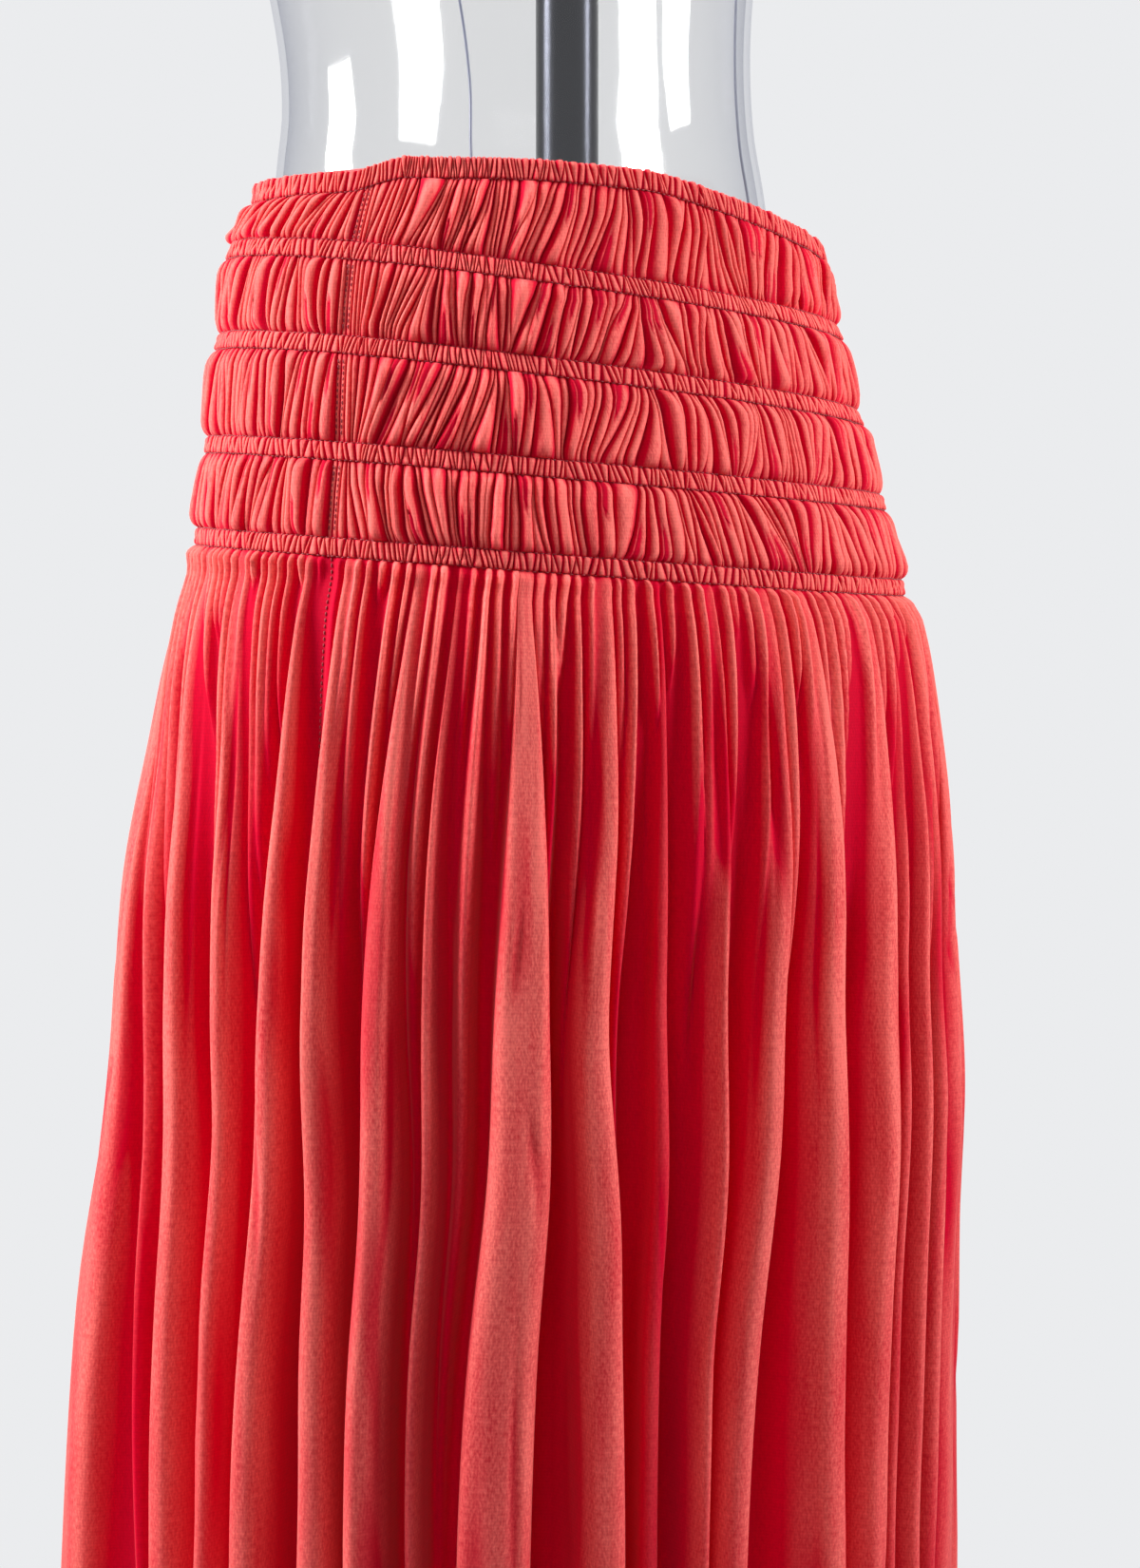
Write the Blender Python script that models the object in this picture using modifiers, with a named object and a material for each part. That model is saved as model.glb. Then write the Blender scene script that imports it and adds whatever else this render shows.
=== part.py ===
"""Maxi skirt with a shirred elastic waistband, on a clear limbless torso form and a round stand.

Metres, +Z up. The origin is the middle of the stand base's underside. The wearer's front faces -Y, so the
side seams lie at -X and +X. Angles go round the body anticlockwise, as seen from above: 0 is +X, 90 is the
centre back, 180 is the side seam at -X and 270 is the centre front.

The skirt is two panels, front and back, each cut in one from the top edge to the hem. Five elastics gather
both into casings, with a puffed tier between each two, and below the last casing the gathers open into
long hanging folds.
"""

from collections import namedtuple
from math import pi

import bpy
import numpy as np

MM = 0.001
CM = 0.01

# What repeats round the body
COARSE = 36  # columns round the form, the elastics and the plain inside of the waistband
PER_GATHER = 4  # fine columns in one gather of the waistband, and in one coarse column
COLUMNS = COARSE * PER_GATHER

# Cloth and elastic
CLOTH = 1.5 * MM  # double crepe, at the casings
SKIRT_WALL = 2.2 * MM  # measured level, so that the steep sides of the folds keep over 1 mm
ELASTIC_THICK = 1.0 * MM
ELASTIC_HALF = 3.0 * MM
CASING_HALF = 4.2 * MM
SEAM_GAP = 0.4 * MM
FIT_GAP = 0.3 * MM
ELASTIC_GAP = 0.45 * MM  # a little more, because the flat facets on each side bend at different heights
ON_FORM = ELASTIC_THICK + 2 * ELASTIC_GAP  # from the form to the inside of a casing that lies on it

# Waistband tiers: how far the puffed cloth stands out from the line between two casings
PUFF = 0.8 * MM
GATHER_RISE = 3.2 * MM
TIER_ROWS = (0.16, 0.5, 0.84)

# Skirt
HEM_HEIGHT = 70 * MM
FIRST_GATHERS = 3  # fine columns in each of the small gathers right under the last casing
SEAM_SUNK = 0.85  # a side seam lies in a valley this deep, as a share of its row's depth

# Form
FORM_WALL = 3.0 * MM
FORM_BOTTOM = 0.800
NECK_TOP = 1.565

# Stand
BASE_RADIUS = 0.180
BASE_THICK = 10 * MM
BASE_ROUND = 3 * MM
POLE_RADIUS = 13.5 * MM
POLE_TOP = 1.562
SOCKET_FLANGE_RADIUS = 36 * MM
SOCKET_FLANGE_THICK = 5 * MM
SOCKET_RADIUS = 21 * MM
SOCKET_TOP = 62 * MM
CAP_RADIUS = 60 * MM
CAP_THICK = 9 * MM
CAP_ROUND = 3 * MM
CAP_BOSS_RADIUS = 22 * MM
CAP_BOSS_DROP = 34 * MM
TURNED_STEPS = 36

Section = namedtuple("Section", "height half_width half_depth centre")
Casing = namedtuple("Casing", "height near_rise back_rise seam_rise turn_rise ease_back ease_side ease_front")
Tier = namedtuple("Tier", "slant swing turns phase")
Fold = namedtuple("Fold", "columns degrees depth lean")
Row = namedtuple("Row", "height depth gathers tilt settled")

# The form's level sections: a general figure without bust, arms or legs. Centimetres but for the height.
FORM_SECTIONS = (
    Section(FORM_BOTTOM, 17.3, 13.6, 0.2),
    Section(0.840, 17.8, 13.9, 0.25),
    Section(0.880, 17.9, 13.8, 0.35),
    Section(0.9235, 17.45, 13.35, 0.45),
    Section(0.962, 16.5, 12.65, 0.95),
    Section(1.003, 15.25, 11.75, 1.7),
    Section(1.042, 13.65, 10.55, 2.1),
    Section(1.075, 12.5, 9.65, 2.15),
    Section(1.124, 11.9, 9.2, 2.4),
    Section(1.185, 12.65, 9.65, 2.85),
    Section(1.270, 14.7, 11.3, 2.6),
    Section(1.350, 15.9, 11.6, 2.1),
    Section(1.410, 16.3, 10.4, 1.8),
    Section(1.450, 15.2, 8.9, 1.5),
    Section(1.478, 12.6, 7.5, 1.0),
    Section(1.500, 8.2, 6.4, 0.5),
    Section(1.525, 6.0, 5.8, 0.1),
    Section(NECK_TOP, 5.7, 5.7, 0.0),
)

# The outside of the skirt over its folds, from the last casing to the hem. Centimetres but for the height.
SKIRT_SECTIONS = (
    Section(HEM_HEIGHT, 22.4, 21.0, 3.4),
    Section(0.270, 21.95, 20.45, 3.25),
    Section(0.4725, 21.55, 19.85, 2.85),
    Section(0.624, 21.4, 18.95, 1.9),
    Section(0.689, 21.1, 18.3, 1.2),
    Section(0.752, 20.85, 17.55, 0.95),
    Section(0.795, 20.6, 17.0, 0.75),
    Section(0.845, 19.9, 15.95, 0.5),
    Section(0.887, 19.15, 15.0, 0.4),
    Section(0.9035, 18.7, 14.5, 0.4),
    Section(0.918, 18.1, 14.0, 0.45),
    Section(0.945, 17.4, 13.4, 0.7),
)

# The five casings, top to bottom: the mean height of the middle; how far it rises to the seam at -X, to the
# back, to both seams and to the quarters between +X and back, and between -X and front; and how loose it
# lies on the form at the back, sides and front.
CASINGS = (
    Casing(1.0723, 5.7 * MM, 10.3 * MM, -2.9 * MM, 5.1 * MM, 0.3 * MM, 6.5 * MM, 19 * MM),
    Casing(1.0393, 6.7 * MM, 13.5 * MM, 0.0, 0.0, 6.5 * MM, 9 * MM, 10.5 * MM),
    Casing(1.0015, 7.4 * MM, 12.5 * MM, 0.0, 0.0, 1.5 * MM, 2.5 * MM, 4.5 * MM),
    Casing(0.9613, 5.7 * MM, 10 * MM, 0.0, 0.0, 0.0, 0.0, 0.5 * MM),
    Casing(0.9233, 6.7 * MM, 8.9 * MM, 0.0, 0.0, 0.0, 0.0, 0.0),
)

# The four tiers, top to bottom: how the gathers slant from casing to casing, in columns, and how that
# slant and their spacing change round the body.
TIERS = (
    Tier(1.3, 0.8, 2, 0.4),
    Tier(0.5, 0.7, 3, 2.1),
    Tier(1.1, 1.2, 2, 0.9),
    Tier(-0.3, 0.6, 4, 3.6),
)

# The hanging folds, anticlockwise: fine columns of cloth in each, its share of the hem in degrees, how
# deep it is as a share of the depth of its row, and how far its ridge leans, in degrees.
BACK_FOLDS = (
    Fold(4, 9.0, 0.85, 0.8),
    Fold(5, 14.0, 1.05, -1.0),
    Fold(4, 11.0, 0.90, 0.6),
    Fold(6, 16.0, 1.15, 1.2),
    Fold(5, 12.0, 1.00, -0.8),
    Fold(4, 10.0, 0.80, 0.4),
    Fold(6, 17.0, 1.15, -1.2),
    Fold(5, 13.0, 0.95, 0.9),
    Fold(6, 15.0, 1.10, 1.0),
    Fold(5, 12.0, 1.00, -0.6),
    Fold(4, 12.0, 0.85, -0.5),
    Fold(4, 11.0, 0.95, 0.6),
    Fold(6, 14.0, 1.10, 0.8),
    Fold(4, 9.5, 0.90, -0.6),
    Fold(4, 8.5, 0.85, 0.5),
)
FRONT_FOLDS = (
    Fold(4, 8.5, 0.85, 0.6),
    Fold(4, 8.5, 0.90, -0.5),
    Fold(4, 9.5, 1.00, 0.6),
    Fold(6, 12.5, 1.15, 1.2),
    Fold(6, 15.5, 1.15, 1.4),
    Fold(7, 19.5, 1.20, -1.5),
    Fold(6, 15.5, 1.15, 1.6),
    Fold(4, 7.0, 0.85, -0.5),
    Fold(4, 10.0, 0.95, 0.6),
    Fold(5, 13.5, 1.05, -0.9),
    Fold(5, 13.0, 1.00, 1.0),
    Fold(4, 11.0, 0.90, -0.6),
    Fold(5, 15.0, 1.10, 1.1),
    Fold(4, 8.0, 0.80, 0.4),
    Fold(4, 9.0, 0.85, -0.6),
)

# The rows of the skirt: height, depth of the hanging folds and of the small gathers, the share of the last
# casing's tilt that is left, and the share of the way to the folds' own places at the hem.
SKIRT_ROWS = (
    Row(0.9045, 0.8 * MM, 1.8 * MM, 0.95, 0.05),
    Row(0.885, 3.0 * MM, 3.2 * MM, 0.85, 0.15),
    Row(0.852, 6.8 * MM, 3.2 * MM, 0.65, 0.30),
    Row(0.806, 14 * MM, 2.6 * MM, 0.40, 0.50),
    Row(0.745, 22 * MM, 1.5 * MM, 0.15, 0.70),
    Row(0.655, 26 * MM, 0.6 * MM, 0.0, 0.85),
    Row(0.480, 28 * MM, 0.0, 0.0, 0.95),
    Row(HEM_HEIGHT, 30 * MM, 0.0, 0.0, 1.0),
)


def smooth_through(table, height):
    """A section's half width, half depth and centre in metres, on a smooth curve through the table."""
    knots = np.array([row.height for row in table])
    height = np.clip(height, knots[0], knots[-1])
    span = np.clip(np.searchsorted(knots, height, side="right") - 1, 0, len(knots) - 2)
    step = knots[span + 1] - knots[span]
    t = (height - knots[span]) / step
    results = []
    for column in ("half_width", "half_depth", "centre"):
        values = np.array([getattr(row, column) for row in table]) * CM
        slopes = np.gradient(values, knots)
        results.append(
            (2 * t**3 - 3 * t**2 + 1) * values[span]
            + (t**3 - 2 * t**2 + t) * step * slopes[span]
            + (3 * t**2 - 2 * t**3) * values[span + 1]
            + (t**3 - t**2) * step * slopes[span + 1]
        )
    return results


def level_point(section, angle, out):
    """The point at this angle of a level section, moved out square to its edge."""
    half_width, half_depth, centre = section
    across, along = half_depth * np.cos(angle), half_width * np.sin(angle)
    length = np.hypot(across, along)
    x = half_width * np.cos(angle) + out * across / length
    y = centre + half_depth * np.sin(angle) + out * along / length
    return x, y


FORM_HEIGHTS = np.array([row.height for row in FORM_SECTIONS])
FORM_BUILT = np.array([(row.half_width, row.half_depth, row.centre) for row in FORM_SECTIONS]) * CM


def form_section(height):
    """The form's section, straight between the rows that it is built from, so that what lies on it fits."""
    return [np.interp(height, FORM_HEIGHTS, FORM_BUILT[:, i]) for i in range(3)]


def casing_height(casing, angle):
    tilt = casing.back_rise * np.sin(angle) - casing.near_rise * np.cos(angle)
    wave = casing.seam_rise * np.cos(2 * angle) + casing.turn_rise * np.sin(2 * angle)
    return casing.height + tilt + wave


def casing_ease(casing, angle):
    ends = np.where(np.sin(angle) > 0, casing.ease_back, casing.ease_front)
    return casing.ease_side * np.cos(angle) ** 2 + ends * np.sin(angle) ** 2


def band_row(angle, upper, lower, share, drop, out):
    """Points round the waistband, this share of the way from one casing down to the next, then down by drop."""
    height = (1 - share) * casing_height(upper, angle) + share * casing_height(lower, angle) - drop
    ease = (1 - share) * casing_ease(upper, angle) + share * casing_ease(lower, angle)
    x, y = level_point(form_section(height), angle, ON_FORM + ease + out)
    return np.stack([x, y, height], axis=-1)


def gather_wave(columns):
    """1 on the ridge of each waistband gather and 0 in the crease between two, for whole columns."""
    return np.sin(pi * (columns % PER_GATHER) / PER_GATHER) ** 1.2


def panel_band_rows(angles, columns):
    """(outer rows, inner rows) of one panel's waistband, from the top edge to the foot of the last casing."""
    ends = np.minimum(np.minimum(columns - columns[0], columns[-1] - columns) / PER_GATHER, 1)
    pitch = 2 * pi / COLUMNS
    coarse = slice(None, None, PER_GATHER)
    outer, inner = [], []
    for index, casing in enumerate(CASINGS):
        for drop in (-CASING_HALF, CASING_HALF):
            outer.append(band_row(angles, casing, casing, 0, drop, CLOTH))
            inner.append(band_row(angles[coarse], casing, casing, 0, drop, 0))
        if index == len(TIERS):
            break
        tier, below = TIERS[index], CASINGS[index + 1]
        free = 1 - 2 * CASING_HALF / (casing.height - below.height)
        swing = np.sin(tier.turns * angles + tier.phase)
        slant = (tier.slant + tier.swing * swing) * pitch * ends
        rise = gather_wave(columns) * (0.85 + 0.15 * np.sin(5 * angles + tier.phase))
        for row in TIER_ROWS:
            share = 0.5 + (row - 0.5) * free
            full = np.sin(pi * row) ** 0.5
            shifted = angles - slant * (0.5 - row) * 2
            out = CLOTH + full * (PUFF + GATHER_RISE * rise)
            outer.append(band_row(shifted, casing, below, share, 0, out))
        inner.append(band_row(angles[coarse], casing, below, 0.5, 0, PUFF))
    return outer, inner


def fold_columns(folds):
    """(share of the row's depth, angle along the hem, lean) of a panel's fine columns, from seam to seam."""
    sunk, along, lean = [SEAM_SUNK], [0.0], [0.0]
    start = 0.0
    for fold, after in zip(folds, folds[1:] + (None,)):
        for column in range(1, fold.columns + 1):
            share = column / fold.columns
            crest = np.sin(pi * share) ** 1.3
            sunk.append(fold.depth * (1 - crest))
            along.append(start + fold.degrees * share)
            lean.append(fold.lean * crest)
        sunk[-1] = (fold.depth + after.depth) / 2 if after else SEAM_SUNK
        start += fold.degrees
    return np.array(sunk), np.radians(along), np.radians(lean)


def panel_skirt_rows(angles, folds, hem_start):
    """(outer rows, inner rows) of one panel's skirt, from under the last casing to the hem."""
    sunk_share, along, lean = fold_columns(folds)
    at_hem = hem_start + along
    small = np.arange(len(angles)) % FIRST_GATHERS == 0
    last = CASINGS[-1]
    outer, inner = [], []
    for row in SKIRT_ROWS:
        angle = angles + (at_hem + lean - angles) * row.settled
        height = row.height + row.tilt * (casing_height(last, angle) - last.height)
        section = smooth_through(SKIRT_SECTIONS, height)
        sunk = row.depth * sunk_share + row.gathers * small
        for rows, inward in ((outer, 0), (inner, SKIRT_WALL)):
            x, y = level_point(section, angle, -sunk - inward)
            rows.append(np.stack([x, y, height], axis=-1))
    return outer, inner


def zipped(first, second, first_along, second_along):
    """Triangles between two rows of vertex numbers, stepping along whichever row lags."""
    faces = []
    i = j = 0
    while i < len(first) - 1 or j < len(second) - 1:
        step_first = j == len(second) - 1 or (
            i < len(first) - 1 and first_along[i + 1] <= second_along[j + 1]
        )
        if step_first:
            faces.append((first[i], second[j], first[i + 1]))
            i += 1
        else:
            faces.append((first[i], second[j], second[j + 1]))
            j += 1
    return faces


def new_object(name, mesh, material):
    part = bpy.data.objects.new(name, mesh)
    part.data.materials.append(material)
    PARTS.objects.link(part)
    return part


def smooth_shaded(mesh, degrees=40):
    mesh.shade_smooth()
    mesh.set_sharp_from_angle(angle=np.radians(degrees))


def cloth_wall(name, outer, inner, material):
    """A closed wall between an outer and an inner run of rows, both top to bottom and seam to seam."""
    loop = outer + inner[::-1]
    starts = np.cumsum([0] + [len(row) for row in loop])
    numbers = [list(range(a, b)) for a, b in zip(starts[:-1], starts[1:])]
    faces = []
    for here, below in zip(numbers, numbers[1:] + numbers[:1]):
        if len(here) == len(below):
            faces += [
                (here[i], below[i], below[i + 1], here[i + 1]) for i in range(len(here) - 1)
            ]
        else:
            even = [np.linspace(0, 1, len(row)) for row in (here, below)]
            faces += zipped(here, below, *even)
    outside, inside = numbers[: len(outer)], numbers[len(outer) :][::-1]
    for end, turned in ((0, False), (-1, True)):
        edges = [[row[end] for row in rows] for rows in (outside, inside)]
        down = [[-rows[i][end][2] for i in range(len(rows))] for rows in (outer, inner)]
        side = zipped(*edges, *down)
        faces += [face[::-1] for face in side] if turned else side
    mesh = bpy.data.meshes.new(name)
    mesh.from_pydata(np.concatenate(loop).tolist(), [], faces)
    smooth_shaded(mesh)
    return new_object(name, mesh, material)


def ring_shell(name, rows, thickness, material):
    """A round shell: closed rings from top to bottom as an open surface, thickened inwards."""
    count = len(rows[0])
    faces = []
    for k in range(len(rows) - 1):
        for i in range(count):
            here, after = k * count + i, k * count + (i + 1) % count
            faces.append((here, here + count, after + count, after))
    mesh = bpy.data.meshes.new(name)
    mesh.from_pydata(np.concatenate(rows).tolist(), [], faces)
    smooth_shaded(mesh)
    shell = new_object(name, mesh, material)
    wall = shell.modifiers.new("Wall", "SOLIDIFY")
    wall.thickness = thickness
    wall.offset = -1
    wall.use_even_offset = True
    return shell


def turned(name, profile, material):
    """A shape turned about Z: (radius, height) points run down its outer side, and a ring's back up inside."""
    solid = profile[0][0] == 0
    count = len(profile)
    edges = [(i, (i + 1) % count) for i in range(count - solid)]
    mesh = bpy.data.meshes.new(name)
    mesh.from_pydata([(radius, 0, height) for radius, height in profile], edges, [])
    part = new_object(name, mesh, material)
    screw = part.modifiers.new("Turn", "SCREW")
    screw.steps = screw.render_steps = TURNED_STEPS
    screw.use_merge_vertices = True
    screw.merge_threshold = 0.00001
    screw.use_smooth_shade = True
    return part


def finish(name, colour, roughness, metallic=0.0, alpha=1.0):
    material = bpy.data.materials.new(name)
    material.use_nodes = True
    shader = material.node_tree.nodes["Principled BSDF"]
    shader.inputs["Base Color"].default_value = (*colour, 1)
    shader.inputs["Roughness"].default_value = roughness
    shader.inputs["Metallic"].default_value = metallic
    shader.inputs["Alpha"].default_value = alpha
    return material


def make_skirt(crepe):
    half = COLUMNS // 2
    for name, side, folds, hem_start in (
        ("back_panel", 1, BACK_FOLDS, 0.0),
        ("front_panel", -1, FRONT_FOLDS, sum(fold.degrees for fold in BACK_FOLDS)),
    ):
        columns = np.arange(half + 1) + (0 if side > 0 else half)
        angles = 2 * pi * columns / COLUMNS
        outer, inner = panel_band_rows(angles, columns)
        skirt_outer, skirt_inner = panel_skirt_rows(angles, folds, np.radians(hem_start))
        outer, inner = outer + skirt_outer, inner + skirt_inner
        for row in outer + inner:
            row[[0, -1], 1] += side * SEAM_GAP / 2
        cloth_wall(name, outer, inner, crepe)


def make_elastics(elastic):
    angles = 2 * pi * np.arange(COARSE) / COARSE
    for number, casing in enumerate(CASINGS, start=1):
        rows = [
            band_row(angles, casing, casing, 0, drop, -ELASTIC_GAP)
            for drop in (-ELASTIC_HALF, ELASTIC_HALF)
        ]
        ring_shell(f"elastic_{number}", rows, ELASTIC_THICK, elastic)


def make_form(plastic):
    angles = 2 * pi * np.arange(COARSE) / COARSE
    rows = []
    for height in FORM_HEIGHTS[::-1]:
        x, y = level_point(form_section(height), angles, 0)
        rows.append(np.stack([x, y, np.full(COARSE, height)], axis=-1))
    ring_shell("torso_form", rows, FORM_WALL, plastic)


def make_stand(steel, chrome, black):
    foot = BASE_THICK + FIT_GAP
    bore = POLE_RADIUS + FIT_GAP
    cap_foot = NECK_TOP + FIT_GAP
    cap_top = cap_foot + CAP_THICK
    turned(
        "stand_base",
        (
            (0, BASE_THICK),
            (BASE_RADIUS - BASE_ROUND, BASE_THICK),
            (BASE_RADIUS, BASE_THICK - BASE_ROUND),
            (BASE_RADIUS, 0),
            (0, 0),
        ),
        steel,
    )
    turned(
        "pole_socket",
        (
            (bore, SOCKET_TOP),
            (SOCKET_RADIUS, SOCKET_TOP),
            (SOCKET_RADIUS, foot + SOCKET_FLANGE_THICK),
            (SOCKET_FLANGE_RADIUS, foot + SOCKET_FLANGE_THICK),
            (SOCKET_FLANGE_RADIUS, foot),
            (bore, foot),
        ),
        chrome,
    )
    turned("pole", ((0, POLE_TOP), (POLE_RADIUS, POLE_TOP), (POLE_RADIUS, foot), (0, foot)), chrome)
    turned(
        "neck_cap",
        (
            (0, cap_top),
            (CAP_RADIUS - CAP_ROUND, cap_top),
            (CAP_RADIUS, cap_top - CAP_ROUND),
            (CAP_RADIUS, cap_foot),
            (CAP_BOSS_RADIUS, cap_foot),
            (CAP_BOSS_RADIUS, cap_foot - CAP_BOSS_DROP),
            (bore, cap_foot - CAP_BOSS_DROP),
            (bore, POLE_TOP + FIT_GAP),
            (0, POLE_TOP + FIT_GAP),
        ),
        black,
    )


PARTS = bpy.data.collections.new("maxi_skirt")


def main():
    for stray in list(bpy.data.objects):
        bpy.data.objects.remove(stray)
    bpy.context.scene.collection.children.link(PARTS)
    make_skirt(finish("coral_crepe", (0.72, 0.08, 0.08), 0.85))
    make_elastics(finish("woven_elastic", (0.75, 0.25, 0.22), 0.8))
    make_form(finish("clear_plastic", (0.92, 0.94, 0.95), 0.05, alpha=0.25))
    make_stand(
        finish("brushed_steel", (0.62, 0.62, 0.63), 0.35, metallic=1.0),
        finish("chrome", (0.80, 0.80, 0.82), 0.10, metallic=1.0),
        finish("black_plastic", (0.03, 0.03, 0.03), 0.35),
    )


main()
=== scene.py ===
"""The finished look of a maxi skirt with a shirred waistband, on a clear torso form and a round stand.

Metres, +Z up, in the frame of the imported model: the origin is the middle of the stand base's underside, and
the wearer's front faces -Y. Angles go round the body anticlockwise, as seen from above: 0 is +X, 90 the
centre back, 180 -X and 270 the centre front. The far side seam lies near +X. The near one lies near -X,
turned a few degrees towards the front.

Each half of the skirt, back and front, is one cut of cloth. It is made as two meshes, the shirred waistband
and the hanging skirt, which meet at the last stitched line.
"""

import logging
from dataclasses import dataclass, field
from enum import Enum
from math import cos, pi, radians, sin
from typing import Iterable, Sequence

import bpy
import numpy as np
from bpy.types import ID, Material, Node, NodeSocket, Object, World
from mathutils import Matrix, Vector
from numpy.typing import NDArray


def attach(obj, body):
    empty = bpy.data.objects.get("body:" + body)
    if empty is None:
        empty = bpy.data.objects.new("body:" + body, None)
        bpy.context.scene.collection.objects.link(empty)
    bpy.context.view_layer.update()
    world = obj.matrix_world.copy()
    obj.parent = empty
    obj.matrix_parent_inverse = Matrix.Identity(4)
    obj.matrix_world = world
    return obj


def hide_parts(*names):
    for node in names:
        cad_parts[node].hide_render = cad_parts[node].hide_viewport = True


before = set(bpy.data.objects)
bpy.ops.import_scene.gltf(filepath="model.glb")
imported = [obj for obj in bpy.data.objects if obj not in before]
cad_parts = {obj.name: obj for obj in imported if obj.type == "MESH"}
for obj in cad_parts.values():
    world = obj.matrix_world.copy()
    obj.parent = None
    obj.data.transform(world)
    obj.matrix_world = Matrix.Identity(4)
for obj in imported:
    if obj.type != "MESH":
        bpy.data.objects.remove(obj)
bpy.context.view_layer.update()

LOG = logging.getLogger("maxi_skirt")
MM = 0.001
CM = 0.01
BODY = "root"

Array = NDArray[np.float64]
Table = Sequence[tuple[float, float]]


class Half(Enum):
    """The two cuts of cloth, and where each starts before its seam is turned, in degrees round the body."""

    BACK = 0.0
    FRONT = 180.0

    @property
    def word(self) -> str:
        """This half's word in the names of pieces."""
        return self.name.lower()

    @property
    def node(self) -> str:
        """The name of the solid that this half stands for."""
        return f"{self.word}_panel"

    def on_cloth(self, share: "Array | float") -> "Array | float":
        """The place of a share of this half's width on the two cuts laid side by side, in metres."""
        return (CUT_WIDTH if self is Half.FRONT else 0.0) + share * CUT_WIDTH


class Slot(Enum):
    """The record's material slots, but for the elastics', which keep the one they have."""

    CREPE = "crepe"
    CLEAR = "clear_plastic"
    BLACK = "black_plastic"
    CHROME = "chrome"
    STEEL = "steel"


# ----------------------------------------------------------------------------------------------------------
# Sizes shared with the solids


@dataclass(frozen=True)
class Section:
    """A level section: its height in metres, then its half width, half depth and centre in centimetres."""

    height: float
    half_width: float
    half_depth: float
    centre: float


@dataclass(frozen=True)
class Casing:
    """One elastic's casing: its mean height in metres, then how it tilts and how loose it lies, in mm."""

    height: float
    near_rise: float
    back_rise: float
    seam_rise: float
    turn_rise: float
    ease_back: float
    ease_side: float
    ease_front: float


@dataclass(frozen=True)
class Pleat:
    """A main fold of the skirt.

    First come the degrees round the body of its crest at five heights, from the stitching to the hem. Then
    come its width and rise, as shares of its row's, and which way it hangs over: -1 is towards lower angles,
    1 towards higher, and 0 both ways.
    """

    top: float
    high: float
    middle: float
    low: float
    hem: float
    width: float
    rise: float
    lean: float


@dataclass(frozen=True)
class Puff:
    """A fold larger than its neighbours: its tier, place, width and rise, and how it narrows upwards."""

    tier: int
    degrees: float
    width_mm: float
    rise_mm: float
    taper: float


@dataclass(frozen=True)
class Wrinkle:
    """A slanting crease: its place and height, length and depth, and how far it runs sideways as it rises."""

    degrees: float
    height: float
    length_mm: float
    depth_mm: float
    slant: float


@dataclass(frozen=True)
class Row:
    """A level of the skirt: height in metres, the folds' depth and half width in mm, and share of the tilt."""

    height: float
    depth: float
    width: float
    tilt: float


FORM_SECTIONS = (
    Section(0.800, 17.3, 13.6, 0.2),
    Section(0.840, 17.8, 13.9, 0.25),
    Section(0.880, 17.9, 13.8, 0.35),
    Section(0.9235, 17.45, 13.35, 0.45),
    Section(0.962, 16.5, 12.65, 0.95),
    Section(1.003, 15.25, 11.75, 1.7),
    Section(1.042, 13.65, 10.55, 2.1),
    Section(1.075, 12.5, 9.65, 2.15),
    Section(1.124, 11.9, 9.2, 2.4),
    Section(1.185, 12.65, 9.65, 2.85),
    Section(1.270, 14.7, 11.3, 2.6),
    Section(1.350, 15.9, 11.6, 2.1),
    Section(1.410, 16.3, 10.4, 1.8),
    Section(1.450, 15.2, 8.9, 1.5),
    Section(1.478, 12.6, 7.5, 1.0),
    Section(1.500, 8.2, 6.4, 0.5),
    Section(1.525, 6.0, 5.8, 0.1),
    Section(1.565, 5.7, 5.7, 0.0),
)

SKIRT_SECTIONS = (
    Section(0.070, 22.4, 21.0, 3.4),
    Section(0.270, 21.95, 20.45, 3.25),
    Section(0.4725, 21.55, 19.85, 2.85),
    Section(0.624, 21.4, 18.95, 1.9),
    Section(0.689, 21.1, 18.3, 1.2),
    Section(0.752, 20.85, 17.55, 0.95),
    Section(0.795, 20.6, 17.0, 0.75),
    Section(0.845, 19.9, 15.95, 0.5),
    Section(0.887, 19.15, 15.0, 0.4),
    Section(0.9035, 18.7, 14.5, 0.4),
    Section(0.918, 18.1, 14.0, 0.45),
    Section(0.945, 17.4, 13.4, 0.7),
)

CASINGS = (
    Casing(1.0723, 5.7, 10.3, -2.9, 5.1, 0.3, 6.5, 19),
    Casing(1.0393, 6.7, 13.5, 0, 0, 6.5, 9, 10.5),
    Casing(1.0015, 7.4, 12.5, 0, 0, 1.5, 2.5, 4.5),
    Casing(0.9613, 5.7, 10, 0, 0, 0, 0, 0.5),
    Casing(0.9233, 6.7, 8.9, 0, 0, 0, 0, 0),
)
ELASTICS = [f"elastic_{number}" for number in range(1, 6)]
STITCH_RISE = 3.5 * MM  # from the middle of a casing to its stitched lines
CLOTH = 1.5 * MM
ELASTIC_THICK = 1.0 * MM
ELASTIC_GAP = 0.45 * MM
ON_FORM = ELASTIC_THICK + 2 * ELASTIC_GAP

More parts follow.
